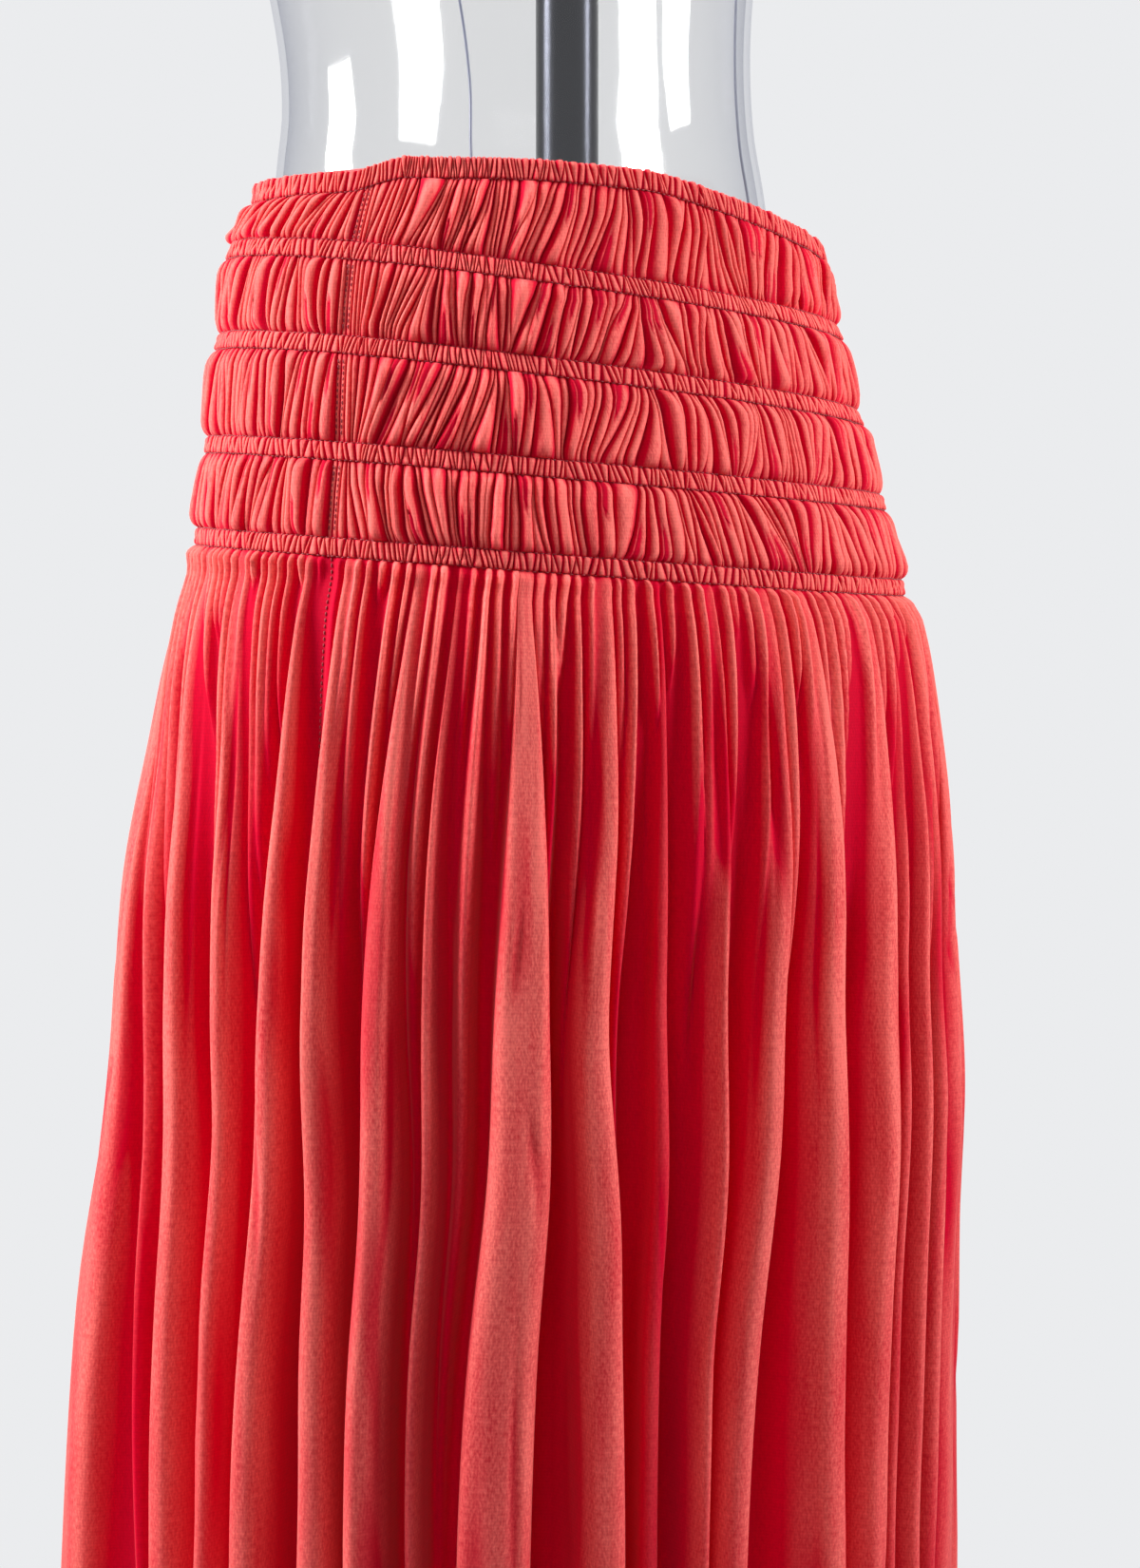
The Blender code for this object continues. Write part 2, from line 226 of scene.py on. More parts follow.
BACK_PLEATS = (
    Pleat(5, 6, 7, 8, 8, 0.9, 0.9, 0.6),
    Pleat(17, 18, 19, 20, 19, 1.2, 1.0, 0.8),
    Pleat(29, 28, 29, 29, 30, 0.6, 0.8, 0.9),
    Pleat(39, 39, 38, 38, 40, 1.0, 1.0, -0.8),
    Pleat(52, 51, 51, 50, 51, 1.4, 1.0, 0.1),
    Pleat(65, 64, 63, 62, 63, 0.5, 0.75, -0.9),
    Pleat(75, 74, 73, 73, 72, 1.0, 1.0, 0.9),
    Pleat(87, 87, 86, 86, 85, 0.8, 0.9, 1.0),
    Pleat(98, 97, 98, 98, 97, 1.3, 1.0, 0.0),
    Pleat(110, 110, 109, 110, 110, 0.6, 0.8, -0.8),
    Pleat(121, 121, 120, 121, 121, 1.1, 1.0, -1.0),
    Pleat(132, 132, 132, 131, 131, 0.9, 0.9, -0.7),
    Pleat(143.5, 146, 147, 147.5, 148, 1.9, 1.0, -0.3),
    Pleat(156.6, 162.8, 166.4, 169.8, 171, 0.85, 0.95, -0.8),
    Pleat(168.5, 173.4, 176.7, 178.4, 180, 0.6, 0.95, -0.9),
    Pleat(183.9, 184.6, 184.6, 185.4, 188, 0.85, 1.0, -0.9),
)
FRONT_PLEATS = (
    Pleat(191.0, 191.0, 191.2, 193.2, 196, 0.85, 1.0, -0.9),
    Pleat(202.3, 200.4, 199.2, 199.8, 203, 0.95, 1.0, -1.0),
    Pleat(208.3, 206.5, 205.4, 205.8, 210, 0.35, 0.8, -0.7),
    Pleat(217.6, 217.6, 216.9, 216.0, 218, 1.65, 1.0, 0.0),
    Pleat(229.0, 227.4, 225.4, 226.8, 227, 0.95, 1.0, 0.9),
    Pleat(236.4, 235.4, 234.6, 234.4, 234, 0.45, 0.55, 0.3),
    Pleat(244.6, 243.5, 241.4, 240.6, 239, 0.35, 0.85, 1.0),
    Pleat(253.6, 251.9, 248.2, 245.8, 246, 0.7, 0.9, 0.9),
    Pleat(260.8, 259.6, 257.4, 257.2, 258, 0.95, 1.0, 1.0),
    Pleat(274.6, 271.2, 268.6, 267.0, 266, 0.8, 0.95, 0.9),
    Pleat(281, 278, 274.5, 272.8, 273, 0.35, 0.75, 0.8),
    Pleat(286, 283.5, 280, 278, 279, 0.35, 0.85, 0.6),
    Pleat(291, 289, 285.5, 283, 284, 0.4, 0.9, 0.5),
    Pleat(301, 299, 296, 294, 294, 1.9, 0.82, 0.0),
    Pleat(309, 307.5, 305.5, 303.5, 303, 0.5, 0.85, 0.4),
    Pleat(316, 315, 313, 311, 310, 1.2, 1.0, 0.0),
    Pleat(327, 326, 325, 324, 323, 0.6, 0.8, -0.8),
    Pleat(338, 338, 337, 336, 336, 1.1, 1.0, 0.9),
    Pleat(350, 350, 350, 349, 349, 0.9, 0.95, -0.7),
)
BACK_PUFFS = (
    Puff(0, 28, 10, 4.2, -0.3),
    Puff(0, 96, 8.5, 4.0, 0.3),
    Puff(1, 60, 9, 4.0, 0.4),
    Puff(2, 130, 8.5, 3.8, -0.4),
    Puff(3, 85, 9, 3.9, 0.3),
)
FRONT_PUFFS = (
    Puff(0, 198, 12.5, 5.0, -0.25),
    Puff(0, 242, 8.5, 4.0, 0.25),
    Puff(1, 219, 8.5, 4.1, -0.35),
    Puff(2, 221, 8.0, 3.9, 0.3),
    Puff(3, 232, 8.5, 3.9, -0.2),
    Puff(1, 320, 9, 4.0, 0.3),
    Puff(2, 300, 8.5, 3.8, -0.3),
)
BACK_WRINKLES = (
    Wrinkle(52, 0.78, 30, 1.0, 0.3),
    Wrinkle(51, 0.73, 26, 0.9, -0.3),
    Wrinkle(98, 0.76, 30, 1.0, -0.25),
    Wrinkle(147, 0.77, 28, 0.9, 0.25),
    Wrinkle(148, 0.71, 30, 1.0, 0.3),
)
FRONT_WRINKLES = (
    Wrinkle(216.5, 0.775, 34, 1.3, 0.10),
    Wrinkle(218.0, 0.700, 40, 1.2, -0.08),
    Wrinkle(293.5, 0.800, 22, 1.2, -0.35),
    Wrinkle(296.0, 0.775, 24, 1.3, -0.40),
    Wrinkle(294.0, 0.750, 20, 1.1, -0.30),
    Wrinkle(297.0, 0.730, 26, 1.2, -0.40),
    Wrinkle(294.5, 0.705, 24, 1.1, -0.35),
    Wrinkle(297.5, 0.685, 22, 1.0, -0.30),
    Wrinkle(312.0, 0.760, 28, 1.0, 0.30),
    Wrinkle(336.0, 0.740, 28, 1.0, -0.25),
)
HIP_RADIUS = 0.155
CUT_WIDTH = 1.20
HEM_HEIGHT = 0.070

PLEAT_LEVELS = (0.905, 0.83, 0.74, 0.65, HEM_HEIGHT)
# the side seams in degrees at those levels: each lies in a valley between two main folds, and the skirt
# hangs with the near seam turned a little towards the front
FAR_SEAM = (0.0, 0.0, 1.0, 2.4, 4.0)
NEAR_SEAM = (187.4, 187.8, 187.9, 189.3, 192.0)

SKIRT_ROWS = (
    Row(0.9191, 0, 1.5, 1.0),
    Row(0.9045, 1.2, 1.6, 0.95),
    Row(0.885, 4.0, 2.0, 0.85),
    Row(0.852, 8.5, 3.0, 0.65),
    Row(0.806, 15, 4.6, 0.40),
    Row(0.745, 22, 6.2, 0.15),
    Row(0.655, 27, 7.2, 0.0),
    Row(0.480, 29, 8.0, 0.0),
    Row(HEM_HEIGHT, 30, 9.0, 0.0),
)


# ----------------------------------------------------------------------------------------------------------
# Small tools


def column(rows: Iterable[object], name: str) -> Array:
    """One named column of a table of rows.

    Args:
        rows: the table's rows.
        name: the field to read.

    Returns:
        The field's value in each row.
    """
    return np.array([getattr(row, name) for row in rows], float)


def hermite(knots: Array, values: Array, at: Array) -> Array:
    """A smooth curve through points.

    Args:
        knots: where the points are, rising.
        values: the value at each knot.
        at: where to read the curve.

    Returns:
        The curve's value at each place.
    """
    at = np.clip(at, knots[0], knots[-1])
    span = np.clip(np.searchsorted(knots, at, side="right") - 1, 0, len(knots) - 2)
    step = knots[span + 1] - knots[span]
    t = (at - knots[span]) / step
    slopes = np.gradient(values, knots)
    return (
        (2 * t**3 - 3 * t**2 + 1) * values[span]
        + (t**3 - 2 * t**2 + t) * step * slopes[span]
        + (3 * t**2 - 2 * t**3) * values[span + 1]
        + (t**3 - t**2) * step * slopes[span + 1]
    )


def round_the_body(table: Table, angle: Array, blur: float = 3.0) -> Array:
    """A value given at a few places round the body, read anywhere round it.

    Args:
        table: (degrees, value) pairs.
        angle: where to read it, in radians.
        blur: how far the corners are rounded off, in degrees.

    Returns:
        The value at each angle.
    """
    degrees, values = np.array(table, float).T
    around = np.degrees(angle)
    reads = [np.interp(around + d * blur, degrees, values, period=360) for d in (-1, -0.5, 0, 0.5, 1)]
    return np.mean(reads, axis=0)


def running(steps: Array) -> Array:
    """The running total of steps along the last axis, from 0."""
    total = np.cumsum(steps, axis=-1)
    return np.concatenate([np.zeros_like(total[..., :1]), total], axis=-1)


def eased(x: Array) -> Array:
    """0 up to x = 0, 1 from x = 1, and smooth between."""
    x = np.clip(x, 0, 1)
    return x * x * (3 - 2 * x)


def level_point(section: Sequence[Array], angle: Array, out: Array | float) -> tuple[Array, Array]:
    """The point at an angle of a level section, moved out square to its edge.

    Args:
        section: half width, half depth and centre, in metres.
        angle: in radians.
        out: how far out, in metres.

    Returns:
        X and Y in metres.
    """
    half_width, half_depth, centre = section
    across, along = half_depth * np.cos(angle), half_width * np.sin(angle)
    length = np.hypot(across, along)
    x = half_width * np.cos(angle) + out * across / length
    y = centre + half_depth * np.sin(angle) + out * along / length
    return x, y


def linear(colour: str) -> tuple[float, float, float, float]:
    """An sRGB hex colour as the linear RGBA that shaders take."""
    parts = [int(colour[i : i + 2], 16) / 255 for i in (1, 3, 5)]
    red, green, blue = (c / 12.92 if c <= 0.04045 else ((c + 0.055) / 1.055) ** 2.4 for c in parts)
    return red, green, blue, 1.0


def add_node(owner: Material | World, kind: str, settings: dict | None = None, **links: object) -> Node:
    """Adds a shader node with its settings and links.

    Args:
        owner: the material or world whose tree it joins.
        kind: the node's type without "ShaderNode", such as "TexNoise".
        settings: values by property name, or by input name, or by input number.
        links: outputs, or nodes for their first outputs, by input name, with spaces as underscores, or "in_"
            and the input's number.

    Returns:
        The new node.
    """
    tree = owner.node_tree
    node = tree.nodes.new(f"ShaderNode{kind}")
    for name, value in (settings or {}).items():
        if isinstance(name, int) or name in node.inputs:
            node.inputs[name].default_value = value
        else:
            setattr(node, name, value)
    for name, source in links.items():
        place = int(name[3:]) if name.startswith("in_") else name.replace("_", " ")
        output = source.outputs[0] if isinstance(source, Node) else source
        tree.links.new(output, node.inputs[place])
    return node


def new_material(name: str) -> Material:
    """An empty node material."""
    material = bpy.data.materials.new(name)
    material.use_nodes = True
    material.node_tree.nodes.clear()
    return material


def surfaced(material: Material, shader: Node) -> Material:
    """The material with the shader on its surface."""
    add_node(material, "OutputMaterial", Surface=shader)
    return material


def pattern(
    material: Material, place: NodeSocket, size_mm: tuple[float, float, float], kind: str, settings: dict
) -> Node:
    """A texture drawn at a real size.

    Args:
        material: whose tree it joins.
        place: where each point is, in metres.
        size_mm: what one unit of the texture measures along each axis.
        kind: the texture node's type.
        settings: its values by property or input name.

    Returns:
        The texture's node.
    """
    scale = tuple(1 / (size * MM) for size in size_mm)
    sized = add_node(material, "Mapping", {"Scale": scale}, Vector=place)
    return add_node(material, kind, settings, Vector=sized)


def linked(name: str, data: ID) -> Object:
    """A new object of the scene."""
    thing = bpy.data.objects.new(name, data)
    bpy.context.scene.collection.objects.link(thing)
    return thing


@dataclass
class Grid:
    """Rows of points to join in a mesh, with each one's place on the flat cloth and how far it stands out."""

    points: Array
    cloth: Array
    crest: Array
    closed: bool = False

    @classmethod
    def tube(cls, points: Array) -> "Grid":
        """Rows of points that close round a hard piece, which has no place on the cloth."""
        shape = points.shape[:2]
        return cls(points, np.zeros(shape + (2,)), np.zeros(shape), closed=True)

    def faces(self, start: int) -> Array:
        """The quads between the rows, whose points are numbered from start.

        Args:
            start: the number of this grid's first point.

        Returns:
            Four point numbers for each quad, facing outwards when rows run down and columns anticlockwise.
        """
        rows, count = self.points.shape[:2]
        along = np.arange(count if self.closed else count - 1)
        after = (along + 1) % count
        top = start + np.arange(rows - 1)[:, None] * count
        quads = np.stack([top + along, top + count + along, top + count + after, top + after], axis=-1)
        return quads.reshape(-1, 4)


def grid_object(name: str, grids: Sequence[Grid], material: Material) -> Object:
    """One smooth-shaded object of several grids.

    Args:
        name: the piece's name.
        grids: what it is joined from.
        material: its finish.

    Returns:
        The object, linked to the scene.
    """
    points = np.concatenate([grid.points.reshape(-1, 3) for grid in grids])
    starts = np.cumsum([0] + [grid.points.shape[0] * grid.points.shape[1] for grid in grids])
    faces = np.concatenate([grid.faces(int(start)) for grid, start in zip(grids, starts)])
    mesh = bpy.data.meshes.new(name)
    mesh.vertices.add(len(points))
    mesh.vertices.foreach_set("co", points.astype(np.float32).ravel())
    mesh.loops.add(len(faces) * 4)
    mesh.loops.foreach_set("vertex_index", faces.astype(np.int32).ravel())
    mesh.polygons.add(len(faces))
    mesh.polygons.foreach_set("loop_start", np.arange(len(faces), dtype=np.int32) * 4)
    mesh.update(calc_edges=True)
    mesh.validate()
    cloth = np.concatenate([grid.cloth.reshape(-1, 2) for grid in grids])
    place = mesh.attributes.new("cloth_place", "FLOAT_VECTOR", "POINT")
    flat = np.concatenate([cloth, np.zeros((len(cloth), 1))], axis=1)
    place.data.foreach_set("vector", flat.astype(np.float32).ravel())
    # the crest sets the cloth's painted light: a painted highlight on fold tops and painted shade in the
    # valleys and creases
    crest = mesh.attributes.new("crest", "FLOAT", "POINT")
    crest.data.foreach_set("value", np.concatenate([g.crest.ravel() for g in grids]).astype(np.float32))
    mesh.shade_smooth()
    mesh.materials.append(material)
    return linked(name, mesh)


# ----------------------------------------------------------------------------------------------------------
# Finishes


@dataclass(frozen=True)
class CrepeFinish:
    """Polyester crepe georgette, piece-dyed coral red: hard-twisted yarns give a matt, grainy, slightly
    sheer cloth that glows redder where light comes through it or bounces between two folds. Its colour
    also carries painted light: a paler colour painted on the fold tops as a painted highlight, and a
    redder one in the valleys and creases as painted shade."""

    # face is the paler colour painted on the fold tops, a painted highlight; valley is the redder one painted
    # in the valleys, painted shade
    face: str = "#F87A72"
    valley: str = "#CE0030"
    through: str = "#FF1C38"
    sheen_tint: str = "#FFC4BC"
    sheen: float = 0.24
    sheen_roughness: float = 0.4
    roughness: float = 0.72
    ior: float = 1.5
    specular: float = 0.04
    see_through: float = 0.27
    # the yarns are 0.3 mm apart: grain and weft are drawn two and a half to four times coarser, so that they
    # show, and a fleck of the grain is a few yarns long
    grain_across_mm: float = 0.75
    grain_along_mm: float = 2.4
    weft_mm: float = 1.3
    weft_share: float = 0.16
    bump: float = 0.55
    bump_mm: float = 0.12
    streak_across_mm: float = 8.0
    streak_along_mm: float = 70.0
    # the place on the flat cloth has no third axis
    flat_mm: float = 1000.0
    # the painted light, a painted highlight on the fold tops and painted shade in the valleys: how uneven the
    # streaks and the grain's pits make it, and where on a fold's height it starts and is full
    streaked: float = 1.85
    pitted: float = 1.7
    painted_light_start: float = 0.42
    painted_light_full: float = 0.88
    # the painted light is full at the upper level and weaker at the lower, a painted fall-off of the light
    # towards the hem
    upper_light_level: float = 0.90
    lower_light_level: float = 0.50
    lower_painted_light: float = 0.58
    # how much lighter and darker the grain's flecks are
    fleck_least: float = 0.68
    fleck_range: float = 0.55
    # the waistband's tight creases, whose crest is below 0, get painted shade where little light gets in
    crease_crest: float = -1.0
    open_crest: float = 0.35
    crease_shade: float = 0.25

    def relief(self, material: Material, place: NodeSocket) -> tuple[Node, Node]:
        """The pebbled grain, and the relief that it makes with the weft.

        Args:
            material: the cloth's.
            place: each point's place on the flat cloth.

        Returns:
            The grain's node and the relief's.
        """
        grain = pattern(
            material, place, (self.grain_across_mm, self.grain_along_mm, self.flat_mm),
            "TexNoise", {"Scale": 1.0, "Detail": 2.0, "Roughness": 0.6}
        )
        # a wave texture of scale pi / 10 repeats once in each unit
        weft = pattern(
            material,
            place,
            (self.weft_mm, self.weft_mm, self.flat_mm),
            "TexWave",
            {"bands_direction": "Y", "Scale": pi / 10, "Distortion": 0.9, "Detail": 1.0, "Detail Scale": 0.5},
        )
        relief = add_node(
            material, "Math", {"operation": "MULTIPLY_ADD", 1: self.weft_share},
            in_0=weft.outputs["Fac"], in_2=grain.outputs["Fac"]
        )
        return grain, relief

    def painted_light(self, material: Material, place: NodeSocket, crest: NodeSocket, grain: Node) -> Node:
        """The painted light: a painted highlight on top of the folds, painted shade in the valleys and in the
        pits of the grain, which are as red as the valleys, and less painted light lower down.

        Args:
            material: the cloth's.
            place: each point's place on the flat cloth.
            crest: how near each point is to the top of its fold.
            grain: the pebbled grain.

        Returns:
            The node whose output is 0 for the valleys' colour and 1 for the face's.
        """
        depth = add_node(
            material, "MapRange", {"From Min": self.painted_light_start, "From Max": self.painted_light_full}, Value=crest
        )
        level = add_node(material, "SeparateXYZ", Vector=place)
        # painted fall-off of the light: less painted light at the lower level than at the upper
        close = add_node(
            material,
            "MapRange",
            {"From Min": self.lower_light_level, "From Max": self.upper_light_level, "To Min": self.lower_painted_light},
            Value=level.outputs["Y"],
        )
        raised = add_node(material, "Math", {"operation": "MULTIPLY"}, in_0=depth, in_1=close)
        pits = add_node(
            material, "Math", {"operation": "MULTIPLY_ADD", 1: self.pitted, 2: -self.pitted / 2},
            in_0=grain.outputs["Fac"]
        )
        streaks = pattern(
            material, place, (self.streak_across_mm, self.streak_along_mm, self.flat_mm),
            "TexNoise", {"Scale": 1.0, "Detail": 2.0}
        )
        uneven = add_node(
            material, "Math", {"operation": "MULTIPLY_ADD", 1: self.streaked},
            in_0=streaks.outputs["Fac"], in_2=pits
        )
        return add_node(material, "Math", {"operation": "MULTIPLY"}, in_0=raised, in_1=uneven)

    def flecks_and_crease_shade(self, material: Material, crest: NodeSocket, relief: Node) -> Node:
        """How light the colour is: flecked by the grain, with painted shade in tight creases.

        Args:
            material: the cloth's.
            crest: how near each point is to the top of its fold.
            relief: the relief of grain and weft.

        Returns:
            The node whose output scales the colour.
        """
        flecked = add_node(
            material, "Math", {"operation": "MULTIPLY_ADD", 1: self.fleck_range, 2: self.fleck_least},
            in_0=relief
        )
        shaded = add_node(
            material,
            "MapRange",
            {"From Min": self.crease_crest, "From Max": self.open_crest, "To Min": self.crease_shade},
            Value=crest,
        )
        return add_node(material, "Math", {"operation": "MULTIPLY"}, in_0=flecked, in_1=shaded)

    def make(self) -> Material:
        """The material, placed by each point's place on the flat cloth."""
        material = new_material("crepe_georgette_woven")
        place = add_node(material, "Attribute", {"attribute_name": "cloth_place"}).outputs["Vector"]
        crest = add_node(material, "Attribute", {"attribute_name": "crest"}).outputs["Fac"]
        grain, relief = self.relief(material, place)
        bump = add_node(
            material, "Bump", {"Strength": self.bump, "Distance": self.bump_mm * MM}, Height=relief
        )
        # the redder valley colour and the paler face colour mixed by the painted light: painted shade and
        # painted highlight
        dyed = add_node(
            material, "Mix", {"data_type": "RGBA", 6: linear(self.valley), 7: linear(self.face)},
            in_0=self.painted_light(material, place, crest, grain).outputs[0]
        )
        colour = add_node(
            material, "VectorMath", {"operation": "SCALE"},
            in_0=dyed.outputs[2], Scale=self.flecks_and_crease_shade(material, crest, relief).outputs[0]
        )
        face = add_node(
            material,
            "BsdfPrincipled",
            {
                "Roughness": self.roughness,
                "IOR": self.ior,
                "Specular IOR Level": self.specular,
                "Sheen Weight": self.sheen,
                "Sheen Roughness": self.sheen_roughness,
                "Sheen Tint": linear(self.sheen_tint),
            },
            Base_Color=colour,
            Normal=bump,
        )
        glow = add_node(material, "BsdfTranslucent", {"Color": linear(self.through)}, Normal=bump)
        both = add_node(material, "MixShader", {0: self.see_through}, in_1=face, in_2=glow)
        return surfaced(material, both)


@dataclass(frozen=True)
class ThreadFinish:
    """Spun polyester sewing thread, dyed darker than the cloth: the fine oblique rib of its two plies is
    painted shade in its colour.
    """

    colour: str = "#8E1626"
    ply_mm: float = 0.5

    def make(self) -> Material:
        """The material, with the rib drawn along each stitch as painted shade."""
        material = new_material("polyester_thread_spun")
        where = add_node(material, "TexCoord").outputs["Object"]
        ply = add_node(
            material,
            "TexWave",
            {"bands_direction": "DIAGONAL", "Scale": 0.5 / (self.ply_mm * MM), "Distortion": 0.5},
            Vector=where,
        )
        # painted shade: darker and lighter oblique stripes stand in for the rib between the plies
        shade = add_node(
            material, "Math", {"operation": "MULTIPLY_ADD", 1: 0.35, 2: 0.75}, in_0=ply.outputs["Fac"]
        )
        dyed = add_node(
            material, "VectorMath", {"operation": "SCALE", 0: linear(self.colour)[:3]}, Scale=shade
        )
        shader = add_node(
            material, "BsdfPrincipled",
            {"Roughness": 0.55, "Sheen Weight": 0.2, "Specular IOR Level": 0.35}, Base_Color=dyed
        )
        return surfaced(material, shader)


@dataclass(frozen=True)
class ElasticFinish:
    """Woven elastic tape, dyed to match: covered rubber cords give ribs that run along the tape."""

    colour: str = "#C9565A"
    rib_mm: float = 1.0

    def make(self) -> Material:
        """The material, ribbed round the body."""
        material = new_material("elastic_tape_woven")
        where = add_node(material, "TexCoord").outputs["Object"]
        ribs = add_node(
            material, "TexWave",
            {"bands_direction": "Z", "Scale": 0.5 / (self.rib_mm * MM), "Distortion": 0.3}, Vector=where
        )
        bump = add_node(
            material, "Bump", {"Strength": 0.6, "Distance": 0.2 * MM}, Height=ribs.outputs["Fac"]
        )
        shader = add_node(
            material, "BsdfPrincipled",
            {"Base Color": linear(self.colour), "Roughness": 0.8, "Sheen Weight": 0.2}, Normal=bump
        )
        return surfaced(material, shader)


@dataclass(frozen=True)
class ClearPlasticFinish:
    """Clear PETG, blow-moulded and left as moulded: glassy, faintly grey where the wall is seen edge on."""

    name: str = "petg_clear_moulded"
    tint: str = "#FAFAFA"
    edge: str = "#E2E3E8"
    gloss: str = "#FFFFFF"
    roughness: float = 0.07
    ripple_mm: float = 60.0
    ripple_rise_mm: float = 1.0
    # how much the wall mirrors head on, and how much more at a glancing angle
    head_on: float = 0.05
    glancing: float = 0.35
    edge_power: float = 3.0
    mirror_power: float = 5.0

    def make(self) -> Material:
        """The material, which lets light through and mirrors more of it at a glancing angle."""
        material = new_material(self.name)
        where = add_node(material, "TexCoord").outputs["Object"]
        ripple = add_node(
            material, "TexNoise", {"Scale": 1 / (self.ripple_mm * MM), "Detail": 1.0}, Vector=where
        )
        bump = add_node(
            material, "Bump", {"Strength": 0.2, "Distance": self.ripple_rise_mm * MM},
            Height=ripple.outputs["Fac"]
        )
        facing = add_node(material, "LayerWeight", {"Blend": 0.5})
        edge_on, steep = (
            add_node(material, "Math", {"operation": "POWER", 1: power}, in_0=facing.outputs["Facing"])
            for power in (self.edge_power, self.mirror_power)
        )
        wall = add_node(
            material, "Mix", {"data_type": "RGBA", 6: linear(self.tint), 7: linear(self.edge)}, in_0=edge_on
        )
        clear = add_node(material, "BsdfTransparent", Color=wall.outputs[2])
        mirror = add_node(
            material, "BsdfAnisotropic", {"Color": linear(self.gloss), "Roughness": self.roughness},
            Normal=bump
        )
        glance = add_node(
            material, "Math", {"operation": "MULTIPLY_ADD", 1: self.glancing, 2: self.head_on}, in_0=steep
        )
        both = add_node(material, "MixShader", in_0=glance, in_1=clear, in_2=mirror)
        return surfaced(material, both)


@dataclass(frozen=True)
class MetalFinish:
    """Bare or plated steel with the marks of how it was worked."""

    name: str
    colour: str
    roughness: float
    mark_mm: tuple[float, float, float]
    depth_mm: float
    smoothest: float = 0.7
    roughest: float = 1.4

    def make(self) -> Material:
        """The material, with noise stretched along its brushing or drawing marks."""
        material = new_material(self.name)
        where = add_node(material, "TexCoord").outputs["Object"]
        marks = pattern(material, where, self.mark_mm, "TexNoise", {"Scale": 1.0, "Detail": 3.0})
        rough = add_node(
            material,
            "MapRange",
            {"To Min": self.roughness * self.smoothest, "To Max": self.roughness * self.roughest},
            Value=marks.outputs["Fac"],
        )
        bump = add_node(
            material, "Bump", {"Strength": 0.3, "Distance": self.depth_mm * MM}, Height=marks.outputs["Fac"]
        )
        shader = add_node(
            material, "BsdfPrincipled", {"Base Color": linear(self.colour), "Metallic": 1.0},
            Roughness=rough, Normal=bump
        )
        return surfaced(material, shader)


@dataclass(frozen=True)
class MouldedPlasticFinish:
    """Black ABS, injection-moulded with a fine spark-eroded texture: soft highlights."""

    name: str = "abs_black_moulded"
    colour: str = "#1B1B1D"
    grain_mm: float = 0.8

    def make(self) -> Material:
        """The material, with a fine moulded grain."""
        material = new_material(self.name)
        where = add_node(material, "TexCoord").outputs["Object"]
        grain = add_node(
            material, "TexNoise", {"Scale": 1 / (self.grain_mm * MM), "Detail": 2.0}, Vector=where
        )
        bump = add_node(
            material, "Bump", {"Strength": 0.3, "Distance": 0.1 * MM}, Height=grain.outputs["Fac"]
        )
        shader = add_node(
            material, "BsdfPrincipled", {"Base Color": linear(self.colour), "Roughness": 0.42, "IOR": 1.53},
            Normal=bump
        )
        return surfaced(material, shader)


BRUSHED_STEEL = MetalFinish("stainless_steel_brushed", "#C2C3C6", 0.34, (90.0, 0.8, 0.8), 0.05)
DARK_CHROME = MetalFinish("steel_tube_dark_chromed", "#2B2C31", 0.24, (1.5, 1.5, 120.0), 0.02)
SOCKET_CHROME = MetalFinish("zinc_socket_chromed", "#B9BBC0", 0.12, (4.0, 4.0, 4.0), 0.02)
CLEAR_OUTSIDE = ClearPlasticFinish()
CLEAR_INSIDE = ClearPlasticFinish("petg_clear_moulded_inside", head_on=0.0, glancing=0.0)
PARTING_LINE = MouldedPlasticFinish("petg_parting_line", "#5E6276", 3.0)


# ----------------------------------------------------------------------------------------------------------
# The cloth's measured forms


def sizes_of(sections: Sequence[Section]) -> tuple[Array, Array]:
    """The heights of level sections, rising, and each one's half width, half depth and centre in metres."""
    parts = [column(sections, name) * CM for name in ("half_width", "half_depth", "centre")]
    return column(sections, "height"), np.stack(parts, axis=-1)


FORM_HEIGHTS, FORM_SIZES = sizes_of(FORM_SECTIONS)
SKIRT_HEIGHTS, SKIRT_SIZES = sizes_of(SKIRT_SECTIONS)


def form_at(height: Array) -> list[Array]:
    """The torso form's half width, half depth and centre at each height."""
    return [np.interp(height, FORM_HEIGHTS, sizes) for sizes in FORM_SIZES.T]


def skirt_at(height: Array) -> list[Array]:
    """The hanging skirt's half width, half depth and centre at each height."""
    return [hermite(SKIRT_HEIGHTS, sizes, height) for sizes in SKIRT_SIZES.T]


def mean_radius(height: Array) -> Array:
    """The hanging skirt's mean radius at each height, as a column."""
    return np.mean(skirt_at(height)[:2], axis=0)[:, None]


def row_value(name: str, height: Array) -> Array:
    """One field of the skirt's rows, read smoothly at each height, as a column."""
    rows = SKIRT_ROWS[::-1]
    return hermite(column(rows, "height"), column(rows, name), height)[:, None]


def casing_height(casing: Casing, angle: Array) -> Array:
    """How high the middle of a casing runs."""
    tilt = casing.back_rise * np.sin(angle) - casing.near_rise * np.cos(angle)
    wave = casing.seam_rise * np.cos(2 * angle) + casing.turn_rise * np.sin(2 * angle)
    return casing.height + (tilt + wave) * MM


def casing_ease(casing: Casing, angle: Array) -> Array:
    """How far a casing stands off the form."""
    ends = np.where(np.sin(angle) > 0, casing.ease_back, casing.ease_front)
    return (casing.ease_side * np.cos(angle) ** 2 + ends * np.sin(angle) ** 2) * MM


# ----------------------------------------------------------------------------------------------------------
# The shirred waistband


